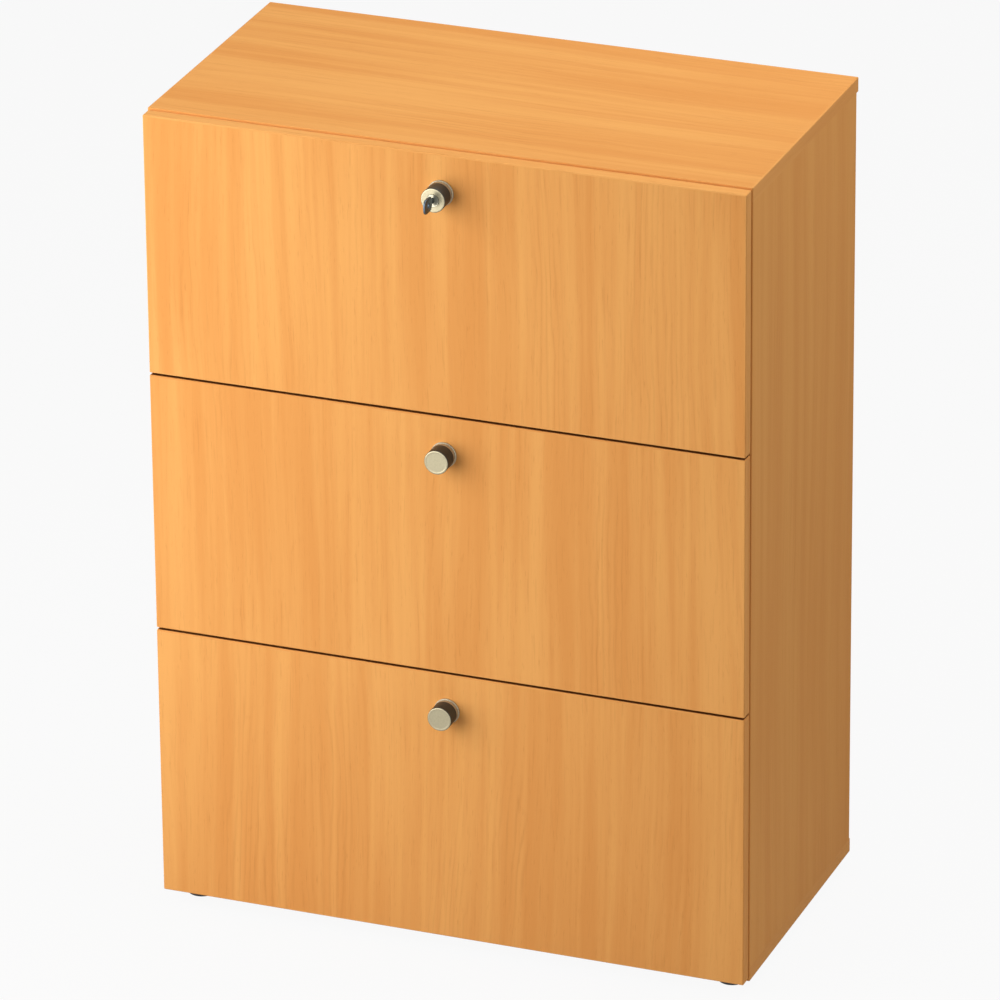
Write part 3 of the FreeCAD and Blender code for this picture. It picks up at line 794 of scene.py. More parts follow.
def oblong(low: Point, high: Point, radius: float, steps: int = 4) -> list[Point]:
    """A rectangle with round corners.

    Args:
        low: Its lowest corner.
        high: Its highest corner.
        radius: Corner radius.
        steps: Straight runs in each corner.

    Returns:
        The outline's corners.
    """
    outline = []
    right, upper = high[0] - radius, high[1] - radius
    left, lower = low[0] + radius, low[1] + radius
    for quarter, (x, y) in enumerate(((right, upper), (left, upper), (left, lower), (right, lower))):
        for step in range(steps + 1):
            a = math.pi / 2 * (quarter + step / steps)
            outline.append((x + radius * math.cos(a), y + radius * math.sin(a)))
    return outline


def cross(reach: float, half: float) -> list[Point]:
    """The outline of a cross recess with arms of a reach and a half width."""
    arm = [(half, half), (half, reach), (-half, reach), (-half, half), (-reach, half), (-reach, -half)]
    return arm + [(-x, -y) for x, y in arm]


def side_plane(x: float, level: float) -> Matrix:
    """A placement that lays a plate's length along Y and its height along Z."""
    return Matrix(((0, 0, 1, x), (1, 0, 0, 0), (0, 1, 0, level), (0, 0, 0, 1)))


def front_plane(y: float) -> Matrix:
    """A placement that lays a plate's length along X and its height along Z."""
    return Matrix(((1, 0, 0, 0), (0, 0, 1, y), (0, 1, 0, 0), (0, 0, 0, 1)))


def halfway(one: float, other: float) -> float:
    """The value halfway between two."""
    return (one + other) / 2


def bake(holder: bpy.types.Object) -> bpy.types.Mesh:
    """Turns an object into a plain mesh and removes the object.

    Args:
        holder: The object, not yet in the scene.

    Returns:
        The mesh.
    """
    bpy.context.scene.collection.objects.link(holder)
    depsgraph = bpy.context.evaluated_depsgraph_get()
    mesh = bpy.data.meshes.new_from_object(holder.evaluated_get(depsgraph))
    bpy.data.objects.remove(holder)
    return mesh


class Shape:
    """A mesh in the making, from turned, folded and punched pieces."""

    SAME_SPOT = 0.0001 * MM
    SHAPE_MERGE = 0.0005 * MM
    PLATE_MERGE = 0.002 * MM

    def __init__(self) -> None:
        """Starts empty."""
        self.bm = bmesh.new()

    def skin(self, rows: Rows, ring: bool, loop: bool) -> list[list[bmesh.types.BMVert]]:
        """Joins rows of points with faces.

        Args:
            rows: Rows of equal length.
            ring: Whether the last point of a row meets the first.
            loop: Whether the last row meets the first.

        Returns:
            The corners by row.
        """
        verts = [[self.bm.verts.new(p) for p in row] for row in rows]
        pairs = list(zip(verts, verts[1:])) + ([(verts[-1], verts[0])] if loop else [])
        for one, two in pairs:
            count = len(one)
            for n in range(count if ring else count - 1):
                m = (n + 1) % count
                self.bm.faces.new((one[n], one[m], two[m], two[n]))
        return verts

    def lathe(
        self, profile: Outline, place: Matrix = HERE, segments: int = 64, loop: bool = False
    ) -> "Shape":
        """Turns a profile round the Z axis of a placement.

        Args:
            profile: Radius and height of each point.
            place: Where the axis stands.
            segments: Faces round the axis.
            loop: Whether the profile closes on itself.

        Returns:
            The shape.
        """
        turns = [math.tau * n / segments for n in range(segments)]
        rows = [[place @ Vector((r * math.cos(a), r * math.sin(a), h)) for a in turns] for r, h in profile]
        self.skin(rows, True, loop)
        return self

    def fold(
        self, path: Outline, wall: float, span: Point, axes: tuple[int, int, int], bend: float = 2.0 * MM
    ) -> "Shape":
        """Folds a strip of sheet along a path and draws it out.

        Args:
            path: The middle of the sheet in section.
            wall: Sheet thickness.
            span: Start and end of the length.
            axes: Axis numbers of the path's two coordinates and of the length.
            bend: Size of each bend.

        Returns:
            The shape.
        """
        line = rounded(path, bend)
        line = [p for n, p in enumerate(line) if n == 0 or (p - line[n - 1]).length > self.SAME_SPOT]
        rim = []
        for n, point in enumerate(line):
            run = line[min(n + 1, len(line) - 1)] - line[max(n - 1, 0)]
            side = Vector((-run.y, run.x)).normalized() * wall / 2
            rim.append((point + side, point - side))
        outline = [left for left, _ in rim] + [right for _, right in reversed(rim)]
        rows = []
        for end in span:
            spots = [dict(zip(axes, (p.x, p.y, end))) for p in outline]
            rows.append([Vector((spot[X], spot[Y], spot[Z])) for spot in spots])
        last = len(outline) - 1
        for row in self.skin(rows, True, False):
            for n in range(len(line) - 1):
                self.bm.faces.new((row[n], row[n + 1], row[last - 1 - n], row[last - n]))
        return self

    def plate(
        self, outlines: Sequence[Outline], wall: float, place: Matrix, bevel: float = 0.0, rounds: int = 1
    ) -> "Shape":
        """Punches a plate from an outline and its holes.

        Args:
            outlines: The outer outline and then the holes, less the bevel.
            wall: Thickness, which lies evenly about the XY plane of the placement.
            place: Where the plate lies.
            bevel: Size of the rounded edges.
            rounds: Faces across a rounded edge.

        Returns:
            The shape.
        """
        curve = bpy.data.curves.new("plate", "CURVE")
        curve.dimensions = "2D"
        curve.fill_mode = "BOTH"
        curve.extrude = wall / 2 - bevel
        curve.bevel_depth = bevel
        curve.bevel_resolution = rounds
        for outline in outlines:
            spline = curve.splines.new("POLY")
            spline.points.add(len(outline) - 1)
            for point, (x, y) in zip(spline.points, outline):
                point.co = (x, y, 0.0, 1.0)
            spline.use_cyclic_u = True
        mesh = bake(bpy.data.objects.new("plate", curve))
        mesh.transform(place)
        fresh = bmesh.new()
        fresh.from_mesh(mesh)
        bmesh.ops.remove_doubles(fresh, verts=fresh.verts, dist=self.PLATE_MERGE)
        bmesh.ops.recalc_face_normals(fresh, faces=fresh.faces)
        fresh.to_mesh(mesh)
        fresh.free()
        self.bm.from_mesh(mesh)
        bpy.data.curves.remove(curve)
        bpy.data.meshes.remove(mesh)
        return self

    def mesh(self, name: str, crease: float = 32.0) -> bpy.types.Mesh:
        """Closes the shape.

        Args:
            name: The mesh's name.
            crease: Edges turned by more degrees than this stay sharp.

        Returns:
            The mesh, with its faces pointing outwards.
        """
        bmesh.ops.remove_doubles(self.bm, verts=self.bm.verts, dist=self.SHAPE_MERGE)
        bmesh.ops.recalc_face_normals(self.bm, faces=self.bm.faces)
        for face in self.bm.faces:
            face.smooth = True
        for edge in self.bm.edges:
            edge.smooth = edge.calc_face_angle(0.0) < math.radians(crease)
        mesh = bpy.data.meshes.new(name)
        self.bm.to_mesh(mesh)
        self.bm.free()
        return mesh


class NodeTool:
    """A Geometry Nodes tree with named inputs, which turns a mesh into another plain mesh."""

    def __init__(self, name: str, kinds: dict[str, str]) -> None:
        """Starts the tree.

        Args:
            name: The tree's name.
            kinds: Types of its inputs by name, between the geometry and the finish.
        """
        self.tree = bpy.data.node_groups.new(name, "GeometryNodeTree")
        self.graph = Graph(self.tree)
        face = self.tree.interface
        self.sockets = {}
        for word, kind in {"Start": "Geometry", **kinds, "Finish": "Material"}.items():
            socket = face.new_socket(name=word, in_out="INPUT", socket_type=f"NodeSocket{kind}")
            self.sockets[word] = socket.identifier
        face.new_socket(name="Pieces", in_out="OUTPUT", socket_type="NodeSocketGeometry")
        entry = self.graph.add("NodeGroupInput").socket.node
        self.given = {s.name: Signal(self.graph, s) for s in entry.outputs if s.name}

    def close(self, pieces: Signal) -> None:
        """Ends the tree with real pieces in their finish.

        Args:
            pieces: The pieces, which may be instances.
        """
        solid = self.graph.add("GeometryNodeRealizeInstances", inputs={"Geometry": pieces})
        inputs = {"Geometry": solid, "Material": self.given["Finish"]}
        dressed = self.graph.add("GeometryNodeSetMaterial", inputs=inputs)
        self.graph.add("NodeGroupOutput", inputs={0: dressed})

    def run(self, start: bpy.types.Mesh, values: dict[str, object]) -> bpy.types.Mesh:
        """Runs the tree.

        Args:
            start: The mesh to start from.
            values: The inputs by name.

        Returns:
            The plain mesh.
        """
        holder = bpy.data.objects.new(start.name, start)
        modifier = holder.modifiers.new(self.tree.name, "NODES")
        modifier.node_group = self.tree
        for word, value in values.items():
            modifier[self.sockets[word]] = value
        return bake(holder)


class Repeater(NodeTool):
    """Sets a pattern piece on every marked place, turned to the place's aim."""

    AIM = "aim"

    def __init__(self) -> None:
        """Builds the tree with its named inputs."""
        super().__init__("pieces_on_places", {"Pattern": "Object", "Largest spin": "Float", "Seed": "Int"})
        add, given = self.graph.add, self.given
        pattern = add("GeometryNodeObjectInfo", inputs={"Object": given["Pattern"]}, output="Geometry")
        kind = {"data_type": "FLOAT_VECTOR"}
        aim = add("GeometryNodeInputNamedAttribute", kind, {"Name": self.AIM}, "Attribute")
        turn = add("FunctionNodeAlignRotationToVector", {"axis": "Z"}, {"Vector": aim})
        limits = {"Min": 0.0, "Max": given["Largest spin"], "Seed": given["Seed"]}
        spin = add("FunctionNodeRandomValue", {"data_type": "FLOAT"}, limits, "Value")
        twist = add("FunctionNodeAxisAngleToRotation", inputs={"Axis": UP, "Angle": spin})
        turns = {"Rotation": turn, "Rotate By": twist}
        turned = add("FunctionNodeRotateRotation", {"rotation_space": "LOCAL"}, turns)
        inputs = {"Points": given["Start"], "Instance": pattern, "Rotation": turned}
        self.close(add("GeometryNodeInstanceOnPoints", inputs=inputs))

    def mesh(
        self,
        name: str,
        pattern: bpy.types.Mesh,
        places: Sequence[Place],
        finish: Finish,
        spin: float = 0.0,
        seed: int = 7,
    ) -> bpy.types.Mesh:
        """Sets a pattern on places.

        Args:
            name: The mesh's name.
            pattern: The piece, which points along Z.
            places: Where each copy stands and where it points.
            finish: The copies' finish.
            spin: Largest random turn about the aim.
            seed: Seed of the turns.

        Returns:
            All copies as one mesh.
        """
        marks = bpy.data.meshes.new(f"{name}_places")
        marks.from_pydata([tuple(spot) for spot, _ in places], [], [])
        aims = marks.attributes.new(self.AIM, "FLOAT_VECTOR", "POINT")
        for value, (_, aim) in zip(aims.data, places):
            value.vector = aim
        source = bpy.data.objects.new(f"{name}_pattern", pattern)
        values = {"Pattern": source, "Largest spin": spin, "Seed": seed, "Finish": finish.material()}
        mesh = self.run(marks, values)
        if self.AIM in mesh.attributes:
            mesh.attributes.remove(mesh.attributes[self.AIM])
        bpy.data.objects.remove(source)
        return mesh


class ThreadWinder(NodeTool):
    """Winds a thread round a stud."""

    STEPS = 20
    CREST_SIDES = 4

    def __init__(self) -> None:
        """Builds the tree with its named inputs."""
        super().__init__("thread_on_stud", dict.fromkeys(("Turns", "Radius", "Length", "Crest"), "Float"))
        add, given = self.graph.add, self.given
        sizes = {
            "Resolution": self.STEPS,
            "Rotations": given["Turns"],
            "Start Radius": given["Radius"],
            "End Radius": given["Radius"],
            "Height": given["Length"],
        }
        spiral = add("GeometryNodeCurveSpiral", inputs=sizes)
        sizes = {"Resolution": self.CREST_SIDES, "Radius": given["Crest"]}
        crest = add("GeometryNodeCurvePrimitiveCircle", inputs=sizes, output="Curve")
        inputs = {"Curve": spiral, "Profile Curve": crest, "Fill Caps": True}
        self.close(add("GeometryNodeCurveToMesh", inputs=inputs))

    def mesh(
        self, turns: float, radius: float, length: float, crest: float, finish: Finish
    ) -> bpy.types.Mesh:
        """Winds one thread upwards from the origin.

        Args:
            turns: Turns in all.
            radius: Radius at the middle of the crest's section.
            length: Height of the thread.
            crest: Half the section of the crest.
            finish: The thread's finish.

        Returns:
            The thread.
        """
        values = {"Turns": turns, "Radius": radius, "Length": length, "Crest": crest}
        return self.run(bpy.data.meshes.new("thread"), {**values, "Finish": finish.material()})


REPEAT = Repeater()
WIND = ThreadWinder()


def dress(finish: Finish, *nodes: str) -> None:
    """Gives carried-over nodes a finish.

    Args:
        finish: The finish.
        nodes: Their names.
    """
    for node in nodes:
        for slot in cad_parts[node].material_slots:
            slot.material = finish.material()
        LOG.info("dressed %s in %s", node, finish.name)


def place_piece(
    name: str,
    mesh: bpy.types.Mesh,
    body: str,
    finish: Finish | None = None,
    stands_for: Sequence[str] = (),
) -> None:
    """Puts a finished mesh on a body.

    Args:
        name: The piece's name.
        mesh: Its mesh, in place.
        body: The body that it rides on.
        finish: Its finish, if the mesh has none yet.
        stands_for: The nodes that it replaces.
    """
    mesh.name = name
    if finish is not None:
        mesh.materials.clear()
        mesh.materials.append(finish.material())
    piece = bpy.data.objects.new(name, mesh)
    bpy.context.scene.collection.objects.link(piece)
    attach(piece, body)
    if stands_for:
        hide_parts(*stands_for)
    LOG.info("made %s, %d faces, on %s", name, len(mesh.polygons), body)


# Fastenings


@dataclass
class PanScrew:
    """A pan-head screw with a cross recess, driven along Z with its head below the origin."""

    shank_radius: float = 1.75 * MM
    length: float = 12.2 * MM
    point: float = 2.0 * MM
    point_radius: float = 0.2 * MM
    head_radius: float = 3.4 * MM
    head_height: float = 1.5 * MM
    crown_share: float = 0.66
    bevel: float = 0.45 * MM
    seat_inset: float = 0.3 * MM
    under_inset: float = 0.1 * MM
    recess_reach: float = 1.84 * MM
    recess_half: float = 0.41 * MM

    def mesh(self) -> bpy.types.Mesh:
        """The screw.

        Returns:
            The mesh.
        """
        crown = self.head_height * self.crown_share
        seat = crown - self.head_height
        lid = [circle(self.head_radius - self.bevel, count=20), cross(self.recess_reach, self.recess_half)]
        place = Matrix.Translation((0, 0, seat - self.bevel / 2))
        profile = [
            (POLE, seat),
            (self.head_radius - self.seat_inset, seat),
            (self.head_radius - self.under_inset, 0.0),
            (self.shank_radius, 0.0),
            (self.shank_radius, self.length - self.point),
            (self.point_radius, self.length),
            (POLE, self.length),
        ]
        shape = Shape().plate(lid, 2 * crown - self.bevel, place, self.bevel, rounds=2)
        return shape.lathe(profile, segments=14).mesh("pan_screw")


@dataclass
class Rivet:
    """A flat rivet head that holds a rail to the drawer wall."""

    radius: float = 3.2 * MM
    height: float = 0.8 * MM
    radius_shares: tuple[float, ...] = (1.0, 0.98, 0.88, 0.7, 0.32, 0.26)
    height_shares: tuple[float, ...] = (0.0, 0.35, 0.8, 1.0, 0.96, 0.5)
    dimple_share: float = 0.45

    def mesh(self) -> bpy.types.Mesh:
        """The head, pointing along Z.

        Returns:
            The mesh.
        """
        shares = zip(self.radius_shares, self.height_shares)
        profile = [(r * self.radius, h * self.height) for r, h in shares]
        dimple = (POLE, self.dimple_share * self.height)
        return Shape().lathe([(POLE, 0.0), *profile, dimple], segments=20).mesh("rivet")


@dataclass
class Cam:
    """A cast cam with a cross recess and a setting mark, its face towards Z."""

    radius: float = 7.5 * MM
    depth: float = 12.5 * MM
    bevel: float = 0.4 * MM
    lid: float = 2.0 * MM
    recess_reach: float = 4.2 * MM
    recess_half: float = 0.9 * MM
    mark_radius: float = 0.8 * MM
    mark_place: float = 5.4 * MM
    wall_inset: float = 0.3 * MM
    wall_top: float = 1.4 * MM
    segments: int = 40

    def mesh(self) -> bpy.types.Mesh:
        """The cam.

        Returns:
            The mesh.
        """
        mark = circle(self.mark_radius, (self.mark_place, 0.0), count=10)
        outline = circle(self.radius - self.bevel, count=self.segments)
        face = [outline, cross(self.recess_reach, self.recess_half), mark]
        wall = self.radius - self.wall_inset
        profile = [(POLE, -self.wall_top), (wall, -self.wall_top), (wall, -self.depth), (POLE, -self.depth)]
        place = Matrix.Translation((0, 0, -self.lid / 2))
        shape = Shape().plate(face, self.lid, place, self.bevel, rounds=2)
        return shape.lathe(profile, segments=self.segments).mesh("cam")


@dataclass
class CamBolt:
    """The bolt that a cam draws in, along Z."""

    radius: float = 3.0 * MM
    reach: float = 45.0 * MM
    head: float = 4.0 * MM
    neck_share: float = 0.7
    neck_start: float = 5.0 * MM
    neck_end: float = 8.0 * MM
    shank_start: float = 9.0 * MM
    tip: float = 1.0 * MM
    tip_share: float = 0.6

    def mesh(self) -> bpy.types.Mesh:
        """The bolt.

        Returns:
            The mesh.
        """
        r, neck = self.radius, self.radius * self.neck_share
        profile = [(POLE, 0.0), (r, 0.0), (r, self.head), (neck, self.neck_start), (neck, self.neck_end)]
        profile += [(r, self.shank_start), (r, self.reach - self.tip)]
        profile += [(r * self.tip_share, self.reach), (POLE, self.reach)]
        return Shape().lathe(profile, segments=16).mesh("cam_bolt")


# Carcass


@dataclass
class Carcass:
    """The boards with their bands, and the fittings that hold them."""

    x_in: float = 0.381
    x_out: float = 0.400
    rail_sheet: float = 1.2 * MM
    rail_screw_shares: Triple = (0.08, 0.5, 0.92)
    strike_sheet: float = 2.0 * MM
    strike_leg: float = 26.0 * MM
    strike_screw_shares: Point = (-0.3, 0.3)
    screw_seed: int = 3
    cam_levels: Point = (0.070, 1.047)
    cam_depths: Point = (-0.1015, 0.1715)
    cam_spin: float = 0.6
    cam_seed: int = 5
    bolt_gap: float = 0.2 * MM

    def build(self) -> None:
        """Dresses the boards and makes the fittings."""
        for node, finish in CARCASS_FINISHES.items():
            dress(finish, node)
        self.screws()
        self.cams()

    def screws(self) -> None:
        """The screws of the cabinet rails and of the strike."""
        places: list[Place] = []
        for drawer in DRAWERS:
            low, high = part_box(f"{drawer}_drawer_rails")
            level = halfway(low.z, high.z)
            for side in SIDES:
                for share in self.rail_screw_shares:
                    y = low.y + share * (high.y - low.y)
                    places.append(((side * (self.x_in - self.rail_sheet), y, level), (side, 0, 0)))
        low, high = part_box("lock_strike")
        y = low.y + (self.strike_sheet + self.strike_leg) / 2
        for share in self.strike_screw_shares:
            places.append(((share * (high.x - low.x), y, high.z - self.strike_sheet), UP))
        name = "carcass_pan_screws"
        mesh = REPEAT.mesh(name, PanScrew().mesh(), places, SCREW_ZINC, math.tau, self.screw_seed)
        place_piece(name, mesh, "carcass", stands_for=["carcass_screws"])

    def cams(self) -> None:
        """The cam fittings in the sides and the bolts that they draw in."""
        cams: list[Place] = []
        bolts: list[Place] = []
        x_bolt = (self.x_in + self.x_out) / 2
        for side in SIDES:
            for level, end in zip(self.cam_levels, SIDES):
                for y in self.cam_depths:
                    cams.append(((side * self.x_in, y, level), (-side, 0, 0)))
                    bolts.append(((side * x_bolt, y, level + end * self.bolt_gap), (0, 0, end)))
        mesh = REPEAT.mesh("cam_fittings", Cam().mesh(), cams, CAST_ZINC, self.cam_spin, self.cam_seed)
        place_piece("cam_fittings", mesh, "carcass", stands_for=["carcass_cam_fittings"])
        mesh = REPEAT.mesh("cam_bolts", CamBolt().mesh(), bolts, SCREW_ZINC)
        place_piece("cam_bolts", mesh, "carcass")


# Feet


@dataclass
class Leveller:
    """One foot: a ribbed glide, a six-sided neck and a threaded stud."""

    name: str
    glide_radius: float = 19.0 * MM
    glide_thickness: float = 9.0 * MM
    rounding: float = 2.4 * MM
    rounding_turns: tuple[float, ...] = (0.0, 0.4, 0.8, 1.2, math.pi / 2)
    dish_shares: Point = (0.62, 0.56)
    dish: float = 0.6 * MM
    ribs: int = 40
    rib_stand: float = 0.35 * MM
    rib_profile: tuple[Point, ...] = ((0.55 * MM, -1.7 * MM), (0.7 * MM, 0.0), (0.55 * MM, 1.7 * MM))
    rib_half: float = 2.0 * MM
    neck_across: float = 9.6 * MM
    neck_top: float = 14.7 * MM
    neck_sink: float = 1.0 * MM
    neck_bevel: float = 0.6 * MM
    neck_bevel_share: float = 0.94
    stud_radius: float = 4.0 * MM
    core_inset: float = 0.55 * MM
    core_bevel: float = 0.6 * MM
    core_bevel_share: float = 0.7
    pitch: float = 1.25 * MM
    crest: float = 0.45 * MM
    crest_stand: float = 0.1 * MM
    thread_end: float = 1.5 * MM

    def build(self) -> None:
        """Makes the foot on its own body."""
        node = f"leveller_{self.name}"
        low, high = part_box(node)
        x, y = halfway(low.x, high.x), halfway(low.y, high.y)
        place = Matrix.Translation((x, y, 0))
        radius = self.glide_radius - self.rib_stand
        core = self.stud_radius - self.core_inset
        shape = Shape().lathe(self.glide(radius), place, segments=72)
        shape.lathe(self.stud(core, high.z), place, segments=24)
        shape.lathe(self.neck(), place, segments=6)
        length = high.z - self.neck_top - self.thread_end
        thread = WIND.mesh(length / self.pitch, core + self.crest_stand, length, self.crest, FOOT_BLACK)
        thread.transform(Matrix.Translation((x, y, self.neck_top)))
        shape.bm.from_mesh(thread)
        profile = [(POLE, -self.rib_half), *self.rib_profile, (POLE, self.rib_half)]
        rib = Shape().lathe(profile, segments=6)
        spots = [((*spot, self.glide_thickness / 2), UP) for spot in circle(radius, (x, y), self.ribs)]
        shape.bm.from_mesh(REPEAT.mesh("grip", rib.mesh("grip_rib"), spots, FOOT_BLACK))
        place_piece(f"foot_{self.name}", shape.mesh("foot"), node, FOOT_BLACK, [node])

    def glide(self, radius: float) -> list[Point]:
        """The profile of the glide inside its ribs.

        Args:
            radius: Outer radius.

        Returns:
            Radius and height of each point.
        """
        t, b = self.glide_thickness, self.rounding
        arc = [(math.sin(a), math.cos(a)) for a in self.rounding_turns]
        under = [(POLE, 0.0)] + [(radius - b + b * s, b - b * c) for s, c in arc]
        over = [(radius - b + b * c, t - b + b * s) for s, c in arc]
        outer, inner = (radius * share for share in self.dish_shares)
        return under + over + [(outer, t), (inner, t - self.dish), (POLE, t - self.dish)]

    def stud(self, core: float, top: float) -> list[Point]:
        """The profile of the stud under its thread.

        Args:
            core: Radius under the thread.
            top: Height of its end.

        Returns:
            Radius and height of each point.
        """
        start = self.glide_thickness / 2
        profile = [(POLE, start), (core, start), (core, top - self.core_bevel)]
        return profile + [(core * self.core_bevel_share, top), (POLE, top)]

    def neck(self) -> list[Point]:
        """The profile of the neck, out to its six corners.

        Returns:
            Radius and height of each point.
        """
        corner = self.neck_across / math.cos(math.pi / 6)
        start = self.glide_thickness - self.neck_sink
        profile = [(POLE, start), (corner, start), (corner, self.neck_top - self.neck_bevel)]
        return profile + [(corner * self.neck_bevel_share, self.neck_top), (POLE, self.neck_top)]


# Ball slides


@dataclass
class BallSlide:
    """The rails and ball cages of one drawer. Depths run from the carcass side towards the drawer."""

    drawer: str
    x_in: float = 0.381
    sheet: float = 1.2 * MM
    depth: float = 12.7 * MM
    middle_web: float = 3.0 * MM
    flange_tip: float = 11.2 * MM
    inner_tip: float = 5.7 * MM
    flange_root: float = 3.2 * MM
    flange_bend: float = 2.2 * MM
    halves: Triple = (22.5 * MM, 18.0 * MM, 13.5 * MM)
    slot_pitch: float = 50.0 * MM
    slot_start: float = 20.0 * MM
    slot_margin: float = 30.0 * MM
    slot_halves: tuple[Point, Point] = ((2.6 * MM, 2.6 * MM), (6.0 * MM, 2.3 * MM))
    slot_round_share: float = 0.99
    race: float = 3.3 * MM
    balls: int = 12
    ball_radius: float = 1.35 * MM
    ball_gap: float = 0.12 * MM
    ball_crease: float = 80.0
    cage_sheet: float = 0.7 * MM
    cage_width: float = 4.4 * MM
    cage_corner: float = 1.2 * MM
    cage_share: float = 0.48
    level: float = field(init=False)
    span: Point = field(init=False)

    def __post_init__(self) -> None:
        """Takes the height and the length from the drawer's rails."""
        low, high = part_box(f"{self.drawer}_drawer_rails")
        self.level = halfway(low.z, high.z)
        self.span = (low.y, high.y)

    @classmethod
    def outer_rails(cls) -> None:
        """Makes the rails of all drawers that are screwed to the carcass."""
        shape = Shape()
        for drawer in DRAWERS:
            slide = cls(drawer)
            slide.rails(shape, 0.0, slide.flange_tip, slide.halves[0])
        mesh = shape.mesh("rails")
        place_piece("carcass_outer_rails", mesh, "carcass", ZINC, ["cabinet_rails"])

    def build(self) -> None:
        """Makes the rails that move and both cages."""
        _, half_middle, half_inner = self.halves
        drawer_node, middle_node = f"{self.drawer}_drawer_rails", f"{self.drawer}_slide_middle_rails"
        inner_web = self.depth - self.sheet
        for word, web, tip, half, body, node in (
            ("inner", inner_web, self.inner_tip, half_inner, f"{self.drawer}_drawer", drawer_node),
            ("middle", self.middle_web, self.flange_tip, half_middle, middle_node, middle_node),
        ):
            shape = Shape()
            self.rails(shape, web, tip, half)
            mesh = shape.mesh("rails")
            place_piece(f"{self.drawer}_{word}_rails", mesh, body, ZINC, [node])
        self.cage("outer", half_middle, (self.middle_web + self.flange_tip) / 2)
        self.cage("inner", half_inner, (self.inner_tip + self.flange_tip) / 2)

    def rails(self, shape: Shape, web: float, tip: float, half: float) -> None:
        """Adds a rail on both sides: a punched web and two rolled flanges.

        Args:
            shape: The mesh in the making.
            web: Depth of the web's outer face.
            tip: Depth of the flange tips.
            half: Half the height.
        """
        start, end = self.span
        root = half - self.flange_root
        punched = [[(start, -root), (end, -root), (end, root), (start, root)]]
        for n in range(int((end - start - self.slot_margin) / self.slot_pitch) + 1):
            y = start + self.slot_start + n * self.slot_pitch
            long, tall = self.slot_halves[n % 2]
            punched.append(oblong((y - long, -tall), (y + long, tall), tall * self.slot_round_share))
        for side in SIDES:
            x_web = side * (self.x_in - web - self.sheet / 2)
            x_tip = side * (self.x_in - tip)
            for up in SIDES:
                z = self.level + up * (half - self.sheet / 2)
                path = [(x_web, self.level + up * root), (x_web, z), (x_tip, z)]
                shape.fold(path, self.sheet, self.span, (X, Z, Y), self.flange_bend)
            shape.plate(punched, self.sheet, side_plane(x_web, self.level))

    def cage(self, word: str, half: float, depth: float) -> None:
        """Makes the strips and balls of one race on both sides.

        Args:
            word: Which race.
            half: Half height of the rail that the balls run on.
            depth: Depth of the race's middle.
        """
        node = f"{self.drawer}_slide_{word}_cages"
        start, end = self.span
        length = self.cage_share * (end - start)
        first = (start + end - length) / 2
        centres = [first + (n + 0.5) * length / self.balls for n in range(self.balls)]
        edge = self.cage_width / 2
        punched = [oblong((-edge, first), (edge, first + length), self.cage_corner)]
        punched += [circle(self.ball_radius + self.ball_gap, (0.0, y), count=14) for y in centres]
        strip = Shape()
        spots: list[Place] = []
        for side in SIDES:
            x = side * (self.x_in - depth)
            for up in SIDES:
                z = self.level + up * (half + self.race / 2)
                strip.plate(punched, self.cage_sheet, Matrix.Translation((x, 0, z)))
                spots += [((x, y, z), UP) for y in centres]
        mesh = strip.mesh("strips")
        place_piece(f"{self.drawer}_{word}_cage_strips", mesh, node, ZINC, [node])
        ball = Shape()
        bmesh.ops.create_icosphere(ball.bm, subdivisions=2, radius=self.ball_radius)
        mesh = REPEAT.mesh("balls", ball.mesh("ball", self.ball_crease), spots, BALL_STEEL)
        place_piece(f"{self.drawer}_{word}_balls", mesh, node)


# Drawers


@dataclass
class Bead:
    """A pressed bead, long in X, that rises along Z as a shallow shell."""

    length: float
    width: float
    height: float
    steps: int = 8
    fullness: float = 1.4
    end_shares: tuple[float, ...] = (0.0, 0.55, 0.9, 1.0)
    least_share: float = 0.02
    sink: float = 0.05 * MM
    crease: float = 60.0

    def mesh(self) -> bpy.types.Mesh:
        """The bead.

        Returns:
            The mesh.
        """
        ends = [(-1, share) for share in self.end_shares]
        ends += [(1, share) for share in reversed(self.end_shares)]
        rows = []
        for n in range(self.steps + 1):
            turn = math.pi * n / self.steps
            across = math.cos(turn) * self.width / 2
            rise = self.height * math.sin(turn) ** self.fullness
            row = []
            for end, share in ends:
                x = end * (self.length / 2 - self.width / 2 * share)
                row.append(Vector((x, across * max(share, self.least_share), rise * share - self.sink)))
            rows.append(row)
        shape = Shape()
        shape.skin(rows, False, False)
        return shape.mesh("bead", self.crease)


